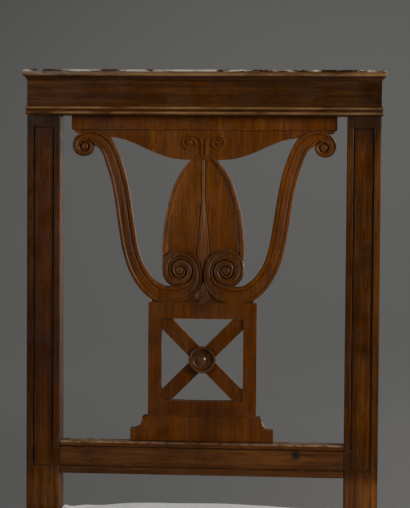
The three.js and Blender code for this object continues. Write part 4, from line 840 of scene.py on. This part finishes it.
def tack_places():
    """Where the tacks go on the front, the sides and the back, each with the way that it faces."""
    places = [(index * FRONT_PITCH, FRONT_Y - END_STAND, (0, -1)) for index in range(-5, 6)]
    for side in (-1, 1):
        for index in range(SIDE_TACKS):
            share = (index + 0.4) / SIDE_TACKS
            x = HALF_FRONT + (HALF_BACK - HALF_FRONT) * share
            y = FRONT_Y + FIRST_SIDE_TACK + share * SIDE_RUN
            places.append((side * (x + SIDE_STAND), y, (side, 0)))
    return places + [(index * BACK_PITCH, BACK_Y + END_STAND, (0, 1)) for index in range(-3, 4)]


def add_tacks():
    """Cut tacks through the turned hem, on all the rails."""
    builder = bmesh.new()
    turns = [2 * math.pi * i / TACK_SIDES for i in range(TACK_SIDES)]
    for x, y, (out_x, out_y) in tack_places():
        x += random.uniform(-STRAY_ALONG, STRAY_ALONG) * abs(out_y)
        y += random.uniform(-STRAY_ALONG, STRAY_ALONG) * abs(out_x)
        middle = on_seat(x, y, TACK_Z + random.uniform(-STRAY_UP, STRAY_UP))
        out, across, up = Vector((out_x, out_y, 0)), Vector((-out_y, out_x, 0)), Vector((0, 0, 1))
        rings = []
        for radius, rise in TACK_HEAD:
            rings.append([builder.verts.new(middle + out * rise + across * (radius * math.cos(turn))
                                            + up * (radius * math.sin(turn))) for turn in turns])
        close_skin(builder, rings)
    piece = placed(builder, "cover_tacks")
    smoothed(piece, dark_iron("tack_iron"))
    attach(piece, "root")


# Camera, floor and light

def make_camera():
    """The photo's own view, placed in the back's frame: a foot point, a distance and three angles."""
    distance, foot_x, foot_z = 2.0, 0.150, 0.404
    turn, tip, roll = (math.radians(angle) for angle in (4.19, 2.70, 0.43))
    ahead = Vector((-math.sin(turn) * math.cos(tip), math.cos(turn) * math.cos(tip), -math.sin(tip)))
    right = ahead.cross(Vector((0, 0, 1))).normalized()
    up = right.cross(ahead)
    across = right * math.cos(roll) + up * math.sin(roll)
    upward = up * math.cos(roll) - right * math.sin(roll)
    stand = Matrix((across, upward, -ahead)).transposed().to_4x4()
    data = bpy.data.cameras.new("photo_view")
    data.sensor_width = 36
    data.lens = 117.28
    camera = bpy.data.objects.new("photo_view", data)
    camera.matrix_world = BACK @ Matrix.Translation((foot_x, -distance, foot_z)) @ stand
    bpy.context.collection.objects.link(camera)
    bpy.context.scene.camera = camera


FLOOR_FRONT_Y, FLOOR_HALF_WIDTH = -6.0, 7.0
BEND_START_Y, BEND_RADIUS, BEND_STEPS = 1.0, 6.0, 36
# Painted light and shade on the paper: its grey at each y from the front of the floor up the bend, and the y
# range that the ramp covers
PAINTED_PAPER_LIGHT = ((1.42, 0.405), (1.52, 0.43), (1.68, 0.46), (1.84, 0.515), (2.05, 0.54), (2.28, 0.52),
               (2.50, 0.51), (3.07, 0.48), (3.64, 0.465), (4.14, 0.455))
GREYS_START_Y, GREYS_END_Y = 1.2, 4.4


def paper():
    """Pale paper with painted light and shade: it darkens on the floor and again up the bend."""
    shader = Shader("paper")
    grain = shader.noise(shader.place, scale=300, detail=2, rough=0.5)
    tone = shader.ramp(grain, (0.3, (0.80, 0.80, 0.79)), (0.7, (0.86, 0.86, 0.85)))
    _, y, _ = shader.axes()
    run = GREYS_END_Y - GREYS_START_Y
    stops = [((at - GREYS_START_Y) / run, (grey, grey, grey)) for at, grey in PAINTED_PAPER_LIGHT]
    # Painted light and shade: the paper's grey follows y
    fade = shader.ramp(shader.range(y, GREYS_START_Y, GREYS_END_Y), *stops)
    return shader.finish(shader.mix(1.0, tone, fade, "MULTIPLY"), rough=0.9)


def add_floor():
    """A pale paper sweep that rises far behind the chair in one wide bend."""
    profile = [(FLOOR_FRONT_Y, 0.0), (BEND_START_Y, 0.0)]
    for i in range(1, BEND_STEPS + 1):
        turn = math.pi / 2 * i / BEND_STEPS
        profile.append((BEND_START_Y + BEND_RADIUS * math.sin(turn), BEND_RADIUS * (1 - math.cos(turn))))
    vertices, faces = [], []
    for y, z in profile:
        vertices += [(-FLOOR_HALF_WIDTH, y, z), (FLOOR_HALF_WIDTH, y, z)]
    for i in range(len(profile) - 1):
        faces.append((2 * i, 2 * i + 1, 2 * i + 3, 2 * i + 2))
    mesh = bpy.data.meshes.new("paper_sweep")
    mesh.from_pydata(vertices, [], faces)
    floor = bpy.data.objects.new("paper_sweep", mesh)
    bpy.context.collection.objects.link(floor)
    smoothed(floor, paper())


def add_light(name, at, towards, size, energy, colour, spread=180):
    """A rectangular lamp that faces a point."""
    data = bpy.data.lights.new(name, "AREA")
    data.energy = energy
    data.shape = "RECTANGLE"
    data.size, data.size_y = size
    data.color = colour
    data.spread = math.radians(spread)
    lamp = bpy.data.objects.new(name, data)
    lamp.location = at
    lamp.rotation_euler = (Vector(towards) - lamp.location).to_track_quat("-Z", "Y").to_euler()
    bpy.context.collection.objects.link(lamp)


def light_studio():
    world = bpy.data.worlds.new("studio")
    bpy.context.scene.world = world
    world.use_nodes = True
    world.node_tree.nodes["Background"].inputs[0].default_value = (0.03, 0.03, 0.03, 1)
    middle = (0, 0.2, 0.7)
    add_light("key", at=(2.0, -0.8, 1.5), towards=middle, size=(0.9, 0.9), energy=48, colour=(1, 0.98, 0.95))
    add_light("rim", at=(1.2, 2.1, 0.95), towards=middle, size=(0.8, 1.5), energy=3.2,
              colour=(1, 0.93, 0.84), spread=80)
    add_light("paper", at=(0.4, 2.3, 2.5), towards=(0.1, 4.4, 0.9), size=(2.4, 0.5), energy=5,
              colour=(1, 0.99, 0.97), spread=120)
    add_light("fill", at=(-1.9, -1.8, 1.6), towards=(0, 0.1, 0.7), size=(1.3, 1.3), energy=27,
              colour=(1, 1, 1))


make_camera()
dress_frame()
for part in EASED_PIECES:
    ease(part)
add_cover()
add_tacks()
add_floor()
light_studio()
